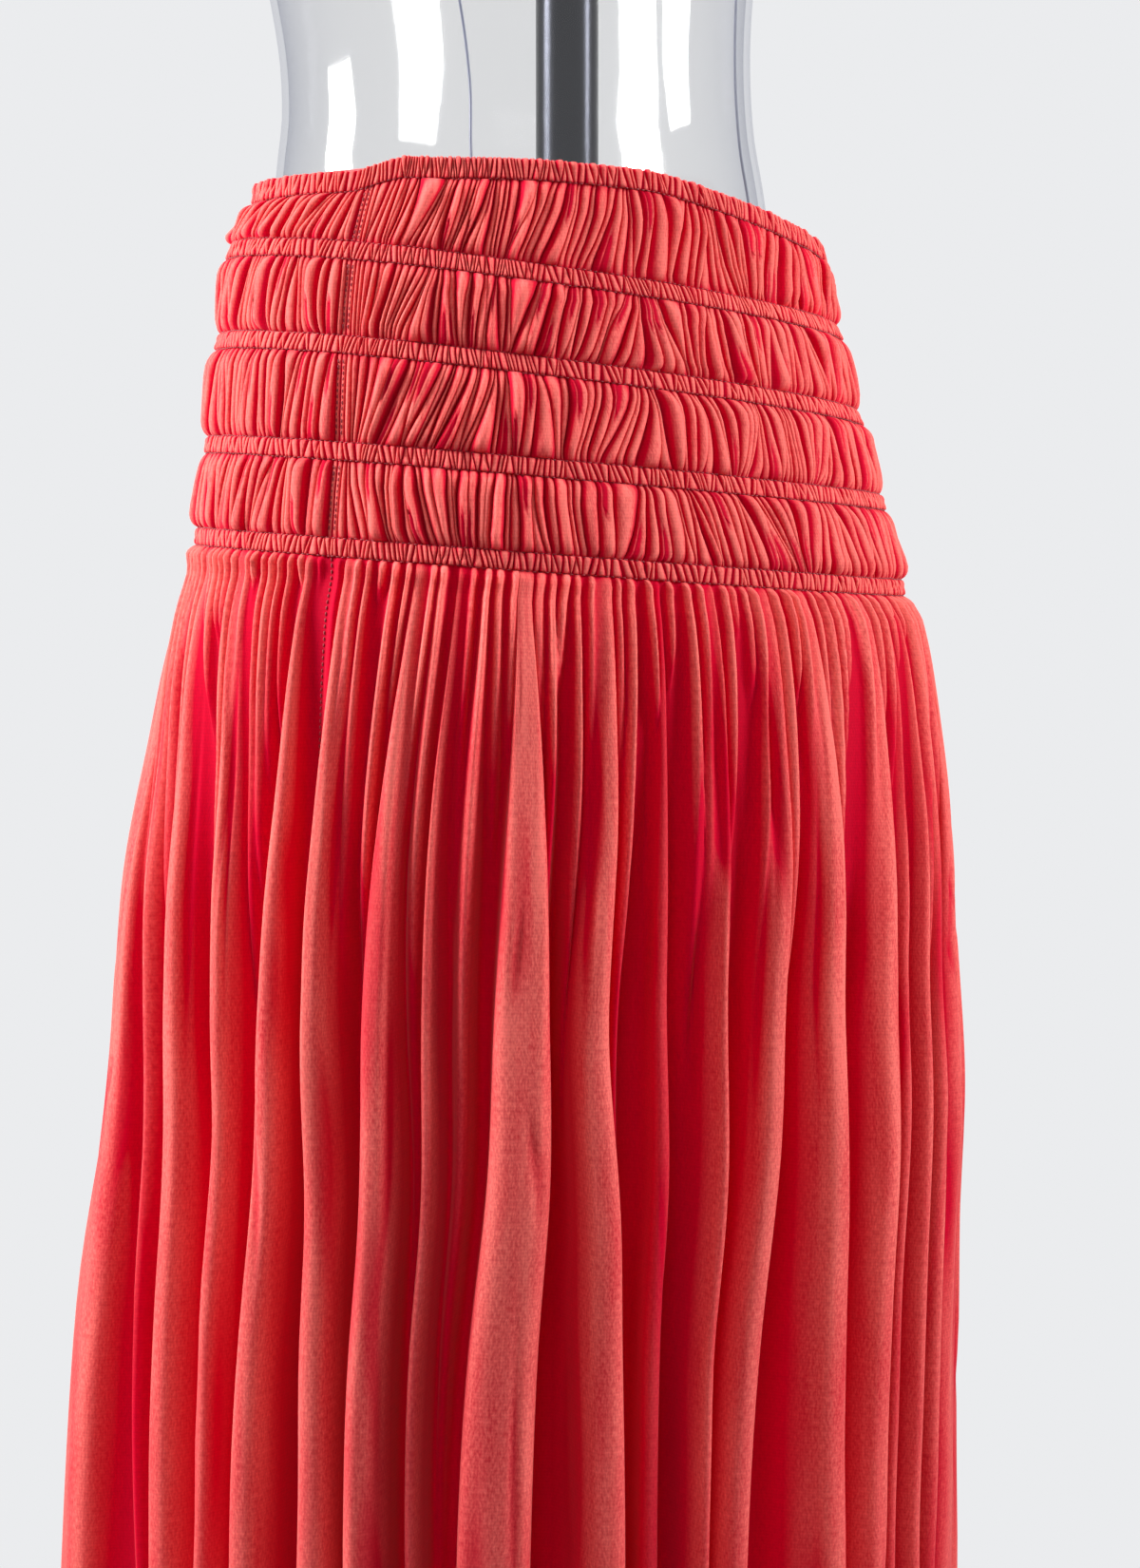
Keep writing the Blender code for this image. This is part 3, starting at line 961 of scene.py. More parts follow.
@dataclass
class Pleats:
    """A row of rounded folds side by side, and the creases between them.

    Some folds are forked: a short crease splits them towards their lower end, or their upper end if it is
    negative, as deep as a share of their rise.
    """

    edges: Array
    rise: Array
    floor: Array
    lean: Array
    fork: Array
    least_wide: float = 0.1 * MM
    swell_power: float = 0.8
    # a fork starts and is whole at these shares of the fold's length, and takes this much of its painted
    # light, so that painted shade runs along it
    fork_start: float = 0.4
    fork_reach: float = 0.35
    fork_dark: float = 0.8
    # how much of its painted light a fold keeps right up to the stitched lines
    end_painted_light: float = 0.75

    def cut(self, steps: int, ends: Array, power: float, down: Array) -> tuple[Array, Array, Array]:
        """The folds' surface, with columns that follow the folds.

        Args:
            steps: columns to a fold, closer together at the creases.
            ends: how much of their height the folds have in each row.
            power: the power of a sine that gives their section; less is flatter on top.
            down: the rows, from 0 at the upper ends to 1 at the lower.

        Returns:
            How far along each point is and how far out, in metres, and how near it is to its fold's top, which
            sets the cloth's painted light and shade.
        """
        count = len(self.rise)
        turn = np.arange(steps) * pi / steps
        share = np.tile((1 - np.cos(turn)) / 2, count)
        round_top = np.tile(np.sin(turn) ** power, count)
        fold = np.repeat(np.arange(count), steps)
        share = np.append(share, 1.0)
        round_top = np.append(round_top, 0.0)
        fold = np.append(fold, count - 1)
        before, after = self.edges[:, fold], self.edges[:, fold + 1]
        # a fold rises where it opens, and sinks where it is pinched
        wide = np.diff(self.edges, axis=1)
        swell = np.clip(wide / np.maximum(wide.mean(axis=0), self.least_wide), 0.25, 1.4) ** self.swell_power
        rise = (self.rise * swell)[:, fold]
        crest = round_top * ends[:, None]
        floor = self.floor[fold] * (1 - share) + self.floor[fold + 1] * share
        out = floor * ends[:, None] + (rise - floor) * crest
        along = before + (after - before) * share + self.lean[fold] * rise * crest
        column_of = np.arange(len(fold)) % steps
        towards = np.where(self.fork[fold] > 0, down[:, None], 1 - down[:, None])
        opened = eased((towards - self.fork_start) / self.fork_reach)
        split = np.abs(self.fork[fold]) * (column_of == steps // 2) * opened
        # the crest sets the painted light: painted shade in the creases, along the forks and near the stitched
        # lines
        painted_light = self.end_painted_light + (1 - self.end_painted_light) * ends[:, None]
        return along, out - split * rise * crest, round_top * painted_light * (1 - self.fork_dark * split)


@dataclass
class ShirredBand:
    """One half's waistband: five stitched elastic casings with four puffed tiers between them."""

    half: Half
    seed: int
    puffs: tuple[Puff, ...]
    groove: float = 0.8 * MM
    casing_proud: float = 0.7 * MM
    ridge_pitch: float = 2.5 * MM
    ridge_rise: float = 1.35 * MM
    ridge_steps: int = 5
    ridge_power: float = 0.8
    fold_pitch: float = 4.2 * MM
    fold_steps: int = 7
    fold_power: float = 0.75
    fold_end: float = 7.0 * MM
    # a fold's rise is this much and this share of its width, and the low folds are the rest of them
    fold_rise: float = 0.5 * MM
    fold_rise_share: float = 0.62
    high_folds: float = 0.7
    pinched_folds: float = 0.14
    pinch: float = 0.3
    fork: float = 0.75
    tier_puff: float = 0.4 * MM
    seam_width: float = 2.6 * MM
    seam_rise: float = 1.0 * MM
    seam_floor: float = -0.8 * MM
    seam_stitch_proud: float = 0.9 * MM
    crimp_pitch: float = 3.1 * MM
    # near the seam the folds stand straight, and lie loose from here on
    loose_reach: float = 9 * MM
    # the near seam turns the cloth this many degrees to each side of it, and leans as many a metre
    seam_reach: float = 50.0
    seam_lean: float = 24.0
    # how far the folds of each tier lean at angles round the body, as metres sideways for a metre up
    tier_slants: tuple[Table, ...] = (
        (
            (0, 0.3), (40, 0.5), (80, 0.2), (120, 0.45), (154, 0.25), (185, 0.15), (193, 0.3), (204, 0.55),
            (232, 0.55), (240, 0.2), (250, 0.05), (265, -0.05), (300, -0.1), (335, 0.35),
        ),
        (
            (20, 0.5), (60, 0.1), (105, 0.6), (150, 0.15), (185, 0.2), (235, 0.2), (255, 0), (290, -0.1),
            (330, 0.2),
        ),
        (
            (10, 0.3), (50, 0.5), (90, 0.2), (150, 0.2), (187, 0.35), (205, 0.5), (225, 0.4), (240, 0.2),
            (255, 0.1), (290, -0.1), (330, 0.4),
        ),
        (
            (30, 0.3), (80, -0.1), (120, 0.25), (150, 0), (185, -0.1), (200, -0.15), (215, 0), (290, 0),
            (335, 0.25),
        ),
    )
    # how far the top edge strays up or down at angles round the body, in millimetres
    edge_strays: Table = (
        (0, 0), (60, 0.5), (100, -1), (140, -1.5), (154, -2.1), (170, -2.3), (184, -3.2), (190, -0.2),
        (194, 1.6), (204, 0.6), (232, 0.8), (245, 1.6), (257, -0.9), (267, -2.1), (274, -3), (287, -2.6),
        (320, -0.5),
    )

    @property
    def length(self) -> float:
        """From side seam to side seam, at the band's mean radius."""
        return pi * HIP_RADIUS

    def angle_at(self, along: Array | float, height: Array | float = CASINGS[-1].height) -> Array:
        """The angle of places along the band, turned near the leaning seam.

        Args:
            along: metres from the half's first seam.
            height: metres.

        Returns:
            The angles, in radians.
        """
        angle = radians(self.half.value) + np.asarray(along) / HIP_RADIUS
        near = 1 - np.abs(angle - pi) / radians(self.seam_reach)
        turn = NEAR_SEAM[0] - 180 + self.seam_lean * (height - CASINGS[-1].height)
        return angle + np.radians(turn) * eased(near)

    def widths(self, draw: np.random.Generator, pitch: float, low: float, high: float) -> Array:
        """Widths of folds that together reach from seam to seam.

        Args:
            draw: where the unevenness comes from.
            pitch: the mean width.
            low: the narrowest, as a share of the pitch.
            high: the widest, as a share of the pitch.

        Returns:
            The widths, in metres, which add up to the length.
        """
        count = round(self.length / pitch)
        widths = np.clip(draw.lognormal(0, 0.38, count), low, high)
        return widths / widths.sum() * self.length

    def placed(self, along: Array, height: Array, ease: Array, out: Array) -> Array:
        """Points round the form.

        Args:
            along: metres from the half's first seam.
            height: metres.
            ease: how far the band stands off the form there, in metres.
            out: how far out of the cloth's smooth outer face, in metres.

        Returns:
            The points.
        """
        angle = self.angle_at(along, height)
        x, y = level_point(form_at(height), angle, ON_FORM + CLOTH + ease + out)
        return np.stack([x, y, height], axis=-1)

    def strayed(self, angle: Array) -> Array:
        """How far the top edge strays at each angle, in metres."""
        return round_the_body(self.edge_strays, angle, 2.0) * MM

    def tier_pleats(self, tier: int, share: Array, length: float) -> Pleats:
        """The folds of one tier.

        Args:
            tier: which tier, 0 at the top.
            share: the rows, from 0 at the upper stitched line to 1 at the lower.
            length: from line to line, in metres.

        Returns:
            The folds.
        """
        draw = np.random.default_rng(self.seed + tier)
        widths = self.widths(draw, self.fold_pitch, 0.6, 1.6)
        widths[[0, -1]] = self.seam_width
        count = len(widths)
        middle = np.cumsum(widths) - widths / 2
        high = (draw.random(count) < self.high_folds) | (widths > 1.3 * self.fold_pitch)
        uneven = np.where(high, draw.uniform(0.85, 1.15, count), draw.uniform(0.5, 0.8, count))
        rise = (self.fold_rise + self.fold_rise_share * widths) * uneven
        pinches = draw.random(count) < self.pinched_folds
        pinched = np.where(pinches, draw.choice((-self.pinch, self.pinch), count), 0.0)
        fork = np.where(
            widths > 1.1 * self.fold_pitch, draw.choice((-self.fork, 0.0, self.fork), count), 0.0
        )
        for puff in self.puffs:
            if puff.tier == tier:
                i = int(np.argmin(np.abs(self.angle_at(middle) - radians(puff.degrees))))
                widths[i], rise[i], pinched[i] = puff.width_mm * MM, puff.rise_mm * MM, puff.taper
        pinched[[0, -1]] = fork[[0, -1]] = 0
        widths *= self.length / widths.sum()
        rise[[0, -1]] = self.seam_rise
        edges = self.tier_edges(draw, widths, pinched, share[:, None], self.tier_slants[tier], length)
        floor = draw.uniform(-2.7, -1.5, count + 1) * MM
        floor[[0, -1]] = self.seam_floor
        lean = np.clip(draw.normal(0, 0.3, count), -0.5, 0.5)
        lean[[0, -1]] = 0
        return Pleats(edges, rise, floor, lean, fork)

    def tier_edges(
        self,
        draw: np.random.Generator,
        widths: Array,
        pinched: Array,
        down: Array,
        slants: Table,
        length: float,
    ) -> Array:
        """Where the creases between a tier's folds run.

        Args:
            draw: where the unevenness comes from.
            widths: the folds' widths.
            pinched: how much each fold narrows downwards.
            down: the rows, as a column, from 0 at the upper stitched line to 1 at the lower.
            slants: how far the folds lean at angles round the body.
            length: from line to line, in metres.

        Returns:
            Metres from the half's first seam, a row of creases for each row of points.
        """
        # each crease swings about its place: creases that meet pinch a fold out, those that part open it
        count = len(widths) + 1
        swing = draw.normal(0, 0.08, count) * self.fold_pitch
        swing[:-1] += pinched * widths
        swing[1:] -= pinched * widths
        belly = draw.normal(0, 0.09, count) * self.fold_pitch
        edges = running(widths)
        near = np.minimum(edges, self.length - edges)
        loose = eased((near - self.seam_width) / self.loose_reach)
        edges = edges - loose * (swing * (2 * down - 1) + belly * (8 * down * (1 - down) - 1))
        slant = round_the_body(slants, self.angle_at(edges))
        # neighbours sway alike
        sway = np.convolve(draw.normal(0, 0.2, count), np.hanning(9) / 2, "same")
        edges = edges + loose * (slant + sway) * (0.5 - down) * length
        apart = np.maximum(np.diff(edges, axis=1), 0.3 * self.fold_pitch)
        apart[:, [0, -1]] = self.seam_width
        inner = apart[:, 1:-1]
        inner *= (self.length - 2 * self.seam_width) / inner.sum(axis=1, keepdims=True)
        return running(apart)

    def casing_pleats(self, casing: int, share: Array) -> Pleats:
        """The small ridges along one casing, whose creases zigzag between the two stitched lines.

        Args:
            casing: which casing, 0 at the top.
            share: the rows, from 0 at the upper stitched line to 1 at the lower.

        Returns:
            The ridges.
        """
        draw = np.random.default_rng(self.seed + 50 + casing)
        widths = self.widths(draw, self.ridge_pitch, 0.55, 1.7)
        count = len(widths)
        edges = running(widths)
        zigzag = draw.uniform(0.3, 1.3, count + 1) * draw.choice((-1, 1), count + 1) * MM
        zigzag[[0, -1]] = 0
        edges = np.sort(edges + zigzag * (2 * np.clip(share, 0, 1)[:, None] - 1), axis=1)
        rise = draw.uniform(0.6, 1.25, count) * self.ridge_rise
        floor = draw.uniform(-1.5, -0.7, count + 1) * MM
        return Pleats(edges, rise, floor, np.zeros(count), np.zeros(count))

    def casing_strip(self, index: int) -> Grid:
        """One casing, from stitched line to stitched line, or from the turned-over top edge."""
        casing = CASINGS[index]
        # down a casing: the rows' heights over its middle, how far out they lie, and how much the ridges rise
        if index:
            rise = np.array([3.5, 3.25, 2.7, 1.6, 0.0, -1.6, -2.7, -3.25, -3.5]) * MM
            base = np.full(len(rise), self.casing_proud)
            base[[0, -1]] = 0
            ends = np.array([0, 0.55, 0.85, 1, 1, 1, 0.85, 0.55, 0])
        else:
            rise = np.array([-3.8, 0, 3.2, 4.2, 4.75, 4.6, 3.9, 2.6, 1.0, -1.0, -2.5, -3.25, -3.5]) * MM
            base = np.array([-1.4, -1.4, -1.4, -1.15, -0.5, 0.2, 0.6, 0.7, 0.7, 0.7, 0.7, 0.7, 0]) * MM
            ends = np.array([0, 0, 0, 0.2, 0.6, 0.9, 1, 1, 1, 1, 0.85, 0.55, 0])
        share = (STITCH_RISE - rise) / (2 * STITCH_RISE)
        ridges = self.casing_pleats(index, share)
        along, out, crest = ridges.cut(self.ridge_steps, ends, self.ridge_power, share)
        angle = self.angle_at(along)
        height = casing_height(casing, angle) + rise[:, None]
        if not index:
            # the ridges show on the turned edge too
            height = height + self.strayed(angle) + out * np.clip(rise[:, None] - 4 * MM, 0, MM) / MM * 0.6
        points = self.placed(along, height, casing_ease(casing, angle), base[:, None] + out)
        return self.grid(points, along, crest)

    def on_tier(self, index: int, along: Array | float, share: Array, out: Array, strays: bool) -> Array:
        """Points on one tier.

        Args:
            index: which tier, 0 at the top.
            along: metres from the half's first seam.
            share: 0 at the upper stitched line to 1 at the lower.
            out: how far out of the cloth's smooth outer face, in metres.
            strays: whether the upper line strays as the top edge does.

        Returns:
            The points.
        """
        upper, lower = CASINGS[index], CASINGS[index + 1]
        angle = self.angle_at(along)
        top = casing_height(upper, angle) - STITCH_RISE
        if strays:
            top = top + self.strayed(angle)
        foot = casing_height(lower, angle) + STITCH_RISE
        ease = casing_ease(upper, angle) * (1 - share) + casing_ease(lower, angle) * share
        return self.placed(along, top + (foot - top) * share, ease, out)

    def tier_strip(self, index: int) -> Grid:
        """One tier, from the stitched line above it to the one below."""
        length = CASINGS[index].height - CASINGS[index + 1].height - 2 * STITCH_RISE
        near = np.array([0, 0.3, 0.8, 1.5, 2.4, 3.8, 6.0]) * MM
        inner = np.linspace(near[-1], length - near[-1], 6)[1:-1]
        down = np.concatenate([near, inner, length - near[::-1]])
        share = down / length
        close = np.minimum(down, length - down)
        ends = np.sqrt(np.clip(1 - (1 - np.clip(close / self.fold_end, 0, 1)) ** 2, 0, 1))
        folds = self.tier_pleats(index, share, length)
        along, out, crest = folds.cut(self.fold_steps, ends, self.fold_power, share)
        # the seam is crimped between its stitches
        seam = np.minimum(along, self.length - along) < self.seam_width * 0.98
        crimp = 1 - 0.5 * (0.5 + 0.5 * np.sin(down / self.crimp_pitch * 2 * pi + index))[:, None]
        out = np.where(seam & (out > 0), out * crimp, out)
        share = share[:, None]
        puff = self.tier_puff * ends[:, None] * np.sin(pi * share)
        return self.grid(self.on_tier(index, along, share, out + puff, index == 0), along, crest)

    def grid(self, points: Array, along: Array, crest: Array) -> Grid:
        """A strip's grid, with its place on the flat cloth. Its creases' crest goes down to -1, for painted
        shade.
        """
        cloth = np.stack([self.half.on_cloth(along / self.length), points[..., 2]], axis=-1)
        return Grid(points, cloth, 2.0 * crest - 1.0)

    def seam_stitched(self) -> list[Array]:
        """The stitched lines down each tier beside the two side seams."""
        down = np.linspace(0.06, 0.94, 24)
        out = np.full(len(down), self.seam_stitch_proud)
        beside = (self.seam_width / 2, self.length - self.seam_width / 2)
        tiers = range(len(CASINGS) - 1)
        return [self.on_tier(index, along, down, out, False) for index in tiers for along in beside]

    def stitched(self) -> list[Array]:
        """The stitched lines: one under the top edge, then two to each casing, and those down the seams."""
        along = np.linspace(0, self.length, 1500)
        angle = self.angle_at(along)
        lines = []
        for index, casing in enumerate(CASINGS):
            for side in (1, -1) if index else (-1,):
                draw = np.random.default_rng(self.seed + 70 + 2 * index + side)
                wobble = np.interp(along, np.linspace(0, self.length, 90), draw.normal(0, 0.16, 90)) * MM
                height = casing_height(casing, angle) + side * STITCH_RISE + wobble
                if not index:
                    height = height + self.strayed(angle)
                groove = np.full(len(along), self.groove)
                lines.append(self.placed(along, height, casing_ease(casing, angle), groove))
        return lines + self.seam_stitched()

    def build(self, material: Material) -> Object:
        """The waistband as one piece.

        Args:
            material: the cloth's finish.

        Returns:
            The piece.
        """
        grids = [self.casing_strip(0)]
        for index in range(len(CASINGS) - 1):
            grids += [self.tier_strip(index), self.casing_strip(index + 1)]
        return grid_object(f"waistband_{self.half.word}", grids, material)


# ----------------------------------------------------------------------------------------------------------
# The hanging skirt


@dataclass(frozen=True)
class Crease:
    """A lengthwise dent: its share of the half's width, its height, its sizes in metres and its slant."""

    where: float
    level: float
    wide: float
    tall: float
    depth: float
    slant: float


@dataclass(frozen=True)
class Gather:
    """A lesser fold of the skirt.

    Its places at the stitching and where it ends are in main folds from the half's first. Then come its half
    width at the stitching, how much wider it grows and its rise, all in millimetres, the share of the main
    folds' depth that it stands on at first, and the height where it has sunk into the valley.
    """

    place: float
    last_place: float
    wide: float
    wider: float
    rise: float
    lift: float
    end: float


@dataclass
class HangingSkirt:
    """One half's skirt, from the last stitched line to the turned-up hem.

    The cloth leaves the stitching in narrow pipes. Most of them run out or meet further down, where the main
    folds grow wide and deep. The mesh's columns follow the main folds.
    """

    half: Half
    seed: int
    pleats: tuple[Pleat, ...]
    wrinkles: tuple[Wrinkle, ...]
    # the mesh's columns, the points that steer each main fold's section, and how closely each is followed
    columns: int = 880
    knots: int = 11
    samples: int = 10
    # the rows lie close together down to this height, and further apart below it
    fine_foot: float = 0.66
    row_pitch: float = 5.2 * MM
    low_row_pitch: float = 15 * MM
    hem_turn: float = 13 * MM
    hem_gap: float = 0.9 * MM
    hem_stitch_rise: float = 12.5 * MM
    # the pipes at the stitching, in millimetres, and how soon they are gone, in metres
    first_depth: float = 3.4
    first_fade: float = 0.08
    # how far a sharp main fold hangs over, as a share of its half width
    lip: float = 0.22
    # the lesser folds at the stitching, and the share of them that lean over to a main fold
    gather_pitch: float = 5.2 * MM
    joining: float = 0.35
    # how many lesser folds run out at each height
    run_outs: tuple[tuple[float, int], ...] = (
        (0.900, 8), (0.872, 8), (0.842, 8), (0.808, 9), (0.755, 10), (0.690, 10), (0.610, 8), (0.510, 5),
        (0.380, 3),
    )
    # lengthwise creases, every third one crisp: their half widths, lengths and depths in metres, and heights
    dents: int = 560
    crisp_wide: tuple[float, float] = (1.2 * MM, 2.4 * MM)
    soft_wide: tuple[float, float] = (2.4 * MM, 6 * MM)
    dent_tall: tuple[float, float] = (20 * MM, 70 * MM)
    crisp_depth: tuple[float, float] = (-1.7 * MM, -0.7 * MM)
    soft_depth: tuple[float, float] = (-2.6 * MM, 1.0 * MM)
    dent_levels: tuple[float, float] = (0.12, 0.89)
    wrinkle_wide: float = 2 * MM
    # how far the folds sway sideways, in radians, and the cloth's small unevenness, in metres
    sway: float = 0.008
    uneven: float = 0.5 * MM
    hem_line: Array = field(init=False)
    seam_line: Array = field(init=False)

    def heights(self) -> Array:
        """The rows' heights, down to the hem, before they follow the last casing's tilt."""
        last = CASINGS[-1].height
        first = last - np.array([3.5, 3.75, 4.2, 4.9, 5.9, 7.3, 9.3, 12.0, 15.0]) * MM
        hem = HEM_HEIGHT + np.array([16.0, 14.0, 12.5, 11.0, 8.0, 4.0, 1.2, 0.0]) * MM
        upper = np.linspace(first[-1], self.fine_foot, round((first[-1] - self.fine_foot) / self.row_pitch))
        lower = np.linspace(self.fine_foot, hem[0], round((self.fine_foot - hem[0]) / self.low_row_pitch))
        return np.concatenate([first, upper[1:], lower[1:-1], hem])

    def drops(self, height: Array) -> Array:
        """How far each row is below the last stitched line."""
        return np.clip(CASINGS[-1].height - STITCH_RISE - height, 0, None)[:, None]

    def depths(self, height: Array) -> Array:
        """How deep the main folds are in each row, in metres."""
        drop = self.drops(height)
        pipes = self.first_depth * np.sqrt(np.clip(drop / (4 * MM), 0, 1)) * np.exp(-drop / self.first_fade)
        return (row_value("depth", height) + pipes) * MM

    def crests(self, height: Array) -> Array:
        """The angle of each main fold's crest in each row, with the two seams first and last."""
        stations = np.array(PLEAT_LEVELS)[::-1]
        names = ("hem", "low", "middle", "high", "top")
        far, near = np.array(FAR_SEAM)[::-1], np.array(NEAR_SEAM)[::-1]
        seams = (near, far + 360) if self.half is Half.FRONT else (far, near)
        tracks = [seams[0]]
        for pleat in self.pleats:
            tracks.append(np.array([getattr(pleat, name) for name in names]))
        tracks.append(seams[1])
        return np.radians(np.stack([hermite(stations, track, height) for track in tracks], axis=1))

    def control(self, height: Array) -> tuple[Array, Array]:
        """The points that steer the main folds' section in each row.

        Args:
            height: the rows' heights.

        Returns:
            Their angles, and their shares of the folds' depth.
        """
        crest = self.crests(height)
        radius = mean_radius(height)
        ends = np.zeros((len(height), 1))
        usual = row_value("width", height) * MM
        widths = np.concatenate([ends, usual * column(self.pleats, "width"), ends], axis=1)
        gap = np.maximum(np.diff(crest, axis=1) * radius - widths[:, 1:] - widths[:, :-1], 1.5 * MM)
        lean = column(self.pleats, "lean")
        sharp_after, sharp_before = np.clip(1 + lean, 0, 1), np.clip(1 - lean, 0, 1)
        wish_after = np.concatenate([[0.08], 0.10 + 0.62 * (1 - sharp_after)])
        wish_before = np.concatenate([0.10 + 0.62 * (1 - sharp_before), [0.08]])
        squeeze = np.minimum(1, 0.9 / (wish_after + wish_before))
        reach_after, reach_before = gap * wish_after * squeeze, gap * wish_before * squeeze
        angles, shares = [crest[:, :1]] * 3, [ends] * 3
        for i, pleat in enumerate(self.pleats):
            middle, wide = crest[:, i + 1 : i + 2], widths[:, i + 1 : i + 2]
            sides = (
                (-1, reach_before[:, i : i + 1], sharp_before[i]),
                (1, reach_after[:, i + 1 : i + 2], sharp_after[i]),
            )
            # each side from its foot in the valley up: a sharp one hangs over by a lip, a blunt one slopes
            found = []
            for way, reach, sharp in sides:
                blunt = 1 - sharp
                found.append(
                    [
                        (way * (wide + reach), 0.0),
                        (way * (wide + 0.45 * reach), 0.10),
                        (way * (wide * (1 + 0.1 * self.lip * sharp) + 0.3 * blunt * reach), 0.45),
                        (way * wide * (1 + self.lip * sharp - 0.1 * blunt), 0.88 - 0.1 * blunt),
                        (way * wide * 0.55, 0.97 + 0.05 * sharp),
                    ]
                )
            for off, share in found[0] + [(0.0 * wide, 1.0)] + found[1][::-1]:
                angles.append(middle + off / radius)
                shares.append(ends + share * pleat.rise)
        angles += [crest[:, -1:]] * 3
        shares += [ends] * 3
        return np.concatenate(angles, axis=1), np.concatenate(shares, axis=1)

    def section(self, height: Array) -> tuple[Array, Array]:
        """The main folds' section in each row, its columns evenly spaced along the cloth of each fold.

        Args:
            height: the rows' heights.

        Returns:
            Each point's angle, and its share of the folds' depth.
        """
        angles, shares = self.control(height)
        # a cubic B-spline through the points, read closely
        t = (np.arange(self.samples) / self.samples)[:, None]
        weights = ((1 - t) ** 3, 3 * t**3 - 6 * t**2 + 4, -3 * t**3 + 3 * t**2 + 3 * t + 1, t**3)
        dense = []
        for values in (angles, shares):
            spans = values.shape[1] - 3
            parts = [values[:, k : k + spans, None] * weight[:, 0] / 6 for k, weight in enumerate(weights)]
            dense.append(np.concatenate([sum(parts).reshape(len(height), -1), values[:, -1:]], axis=1))
        across = np.diff(dense[0], axis=1) * mean_radius(height)
        step = np.hypot(across, np.diff(dense[1], axis=1) * self.depths(height))
        length = running(step)
        # each fold keeps its own number of columns from top to bottom
        inner = [(1 + self.knots * (i + 1)) * self.samples for i in range(len(self.pleats) - 1)]
        cuts = [0, *inner, length.shape[1] - 1]
        reach = running(np.diff(length[:, cuts], axis=1).mean(axis=0))
        ends = np.round(reach / reach[-1] * self.columns).astype(int)
        found = [np.empty((len(height), self.columns + 1)) for _ in dense]
        for low, high, first, last in zip(cuts[:-1], cuts[1:], ends[:-1], ends[1:]):
            even = np.linspace(0, 1, last - first + 1)
            for row in range(len(height)):
                span = length[row, low : high + 1]
                at = span[0] + even * (span[-1] - span[0])
                for values, result in zip(dense, found):
                    result[row, first : last + 1] = np.interp(at, span, values[row, low : high + 1])
        return found[0], found[1]

    def gathers(self) -> list[Gather]:
        """The lesser folds, drawn from a seed between the main ones."""
        draw = np.random.default_rng(self.seed + 1)
        levels = np.concatenate([np.full(count, level) for level, count in self.run_outs])
        draw.shuffle(levels)
        crest = self.crests(np.array([PLEAT_LEVELS[0]]))[0]
        found: list[Gather] = []
        for i, span in enumerate(np.diff(crest)):
            count = max(1, round(span * HIP_RADIUS / self.gather_pitch) - 1)
            places = i + (np.arange(count) + 1 + draw.uniform(-0.22, 0.22, count)) / (count + 1)
            ends = levels[(len(found) + np.arange(count)) % len(levels)]
            ends = ends + draw.uniform(-0.008, 0.008, count)
            last = places + draw.normal(0, 0.06, count)
            # some lean over to the nearest main fold and run out beside it
            joins = draw.random(count) < self.joining
            beside = np.clip(np.round(places), i, i + 1) + np.where(places - i < 0.5, 0.2, -0.2)
            last = np.where(joins, 0.5 * (last + beside), last)
            for place, goes, end in zip(places, last, ends):
                found.append(
                    Gather(
                        place=place,
                        last_place=goes,
                        wide=draw.uniform(1.2, 2.0),
                        wider=draw.uniform(0.8, 2.8),
                        rise=draw.uniform(1.6, 2.9),
                        lift=draw.uniform(0.6, 1.0),
                        end=end,
                    )
                )
        return found

    def gather_field(self, angle: Array, height: Array) -> tuple[Array, Array]:
        """How far the lesser folds stand out, in metres.

        Args:
            angle: each point's angle.
            height: the rows' heights.

        Returns:
            The pipes' own rise, and that of the folds which carry them up from the valleys.
        """
        drop = self.drops(height)
        start = np.sqrt(np.clip(drop / (3 * MM), 0, 1))
        crest = self.crests(height)
        radius = mean_radius(height)
        deep = self.depths(height)
        pipes, carried = np.zeros(angle.shape), np.zeros(angle.shape)
        top = CASINGS[-1].height - STITCH_RISE
        rows = np.arange(len(height))
        for gather in self.gathers():
            left = np.clip((height - gather.end) / (top - gather.end), 0, 1)
            place = gather.place + (gather.last_place - gather.place) * (1 - left)
            before = np.clip(place.astype(int), 0, crest.shape[1] - 2)
            low, high = crest[rows, before], crest[rows, before + 1]
            middle = (low + (high - low) * (place - before))[:, None]
            left = left[:, None]
            tip = eased(left * 2.2)
            wide = (gather.wide + gather.wider * eased(drop / 0.12)) * (0.4 + 0.6 * tip) * MM
            across = np.abs(angle - middle) * radius / wide
            core = np.clip(1 - np.minimum(across, 1) ** 2.4, 0, 1) ** 0.75
            foot = 1 - eased(across / 2.2)
            np.maximum(pipes, gather.rise * MM * start * tip * (0.8 * core + 0.2 * foot), out=pipes)
            np.maximum(carried, gather.lift * deep * left**0.8 * foot, out=carried)
        return pipes, carried

    def soft_noise(self, place: Array, height: Array, seed: int, across: float, down: float) -> Array:
        """Smooth unevenness between -1 and 1.

        Args:
            place: each column's share of the half's width.
            height: the rows' heights.
            seed: which unevenness.
            across: share of the width from one change to the next.
            down: metres from one change to the next.

        Returns:
            A row for each height.
        """
        draw = np.random.default_rng(self.seed + seed)
        knots_along = np.arange(-across, 1 + 2 * across, across)
        knots_down = np.arange(HEM_HEIGHT - 2 * down, 1.0 + down, down)
        values = draw.uniform(-1, 1, (len(knots_down), len(knots_along)))
        by_row = np.stack([hermite(knots_along, row, place) for row in values])
        return np.stack([hermite(knots_down, by_row[:, i], height) for i in range(len(place))], axis=1)

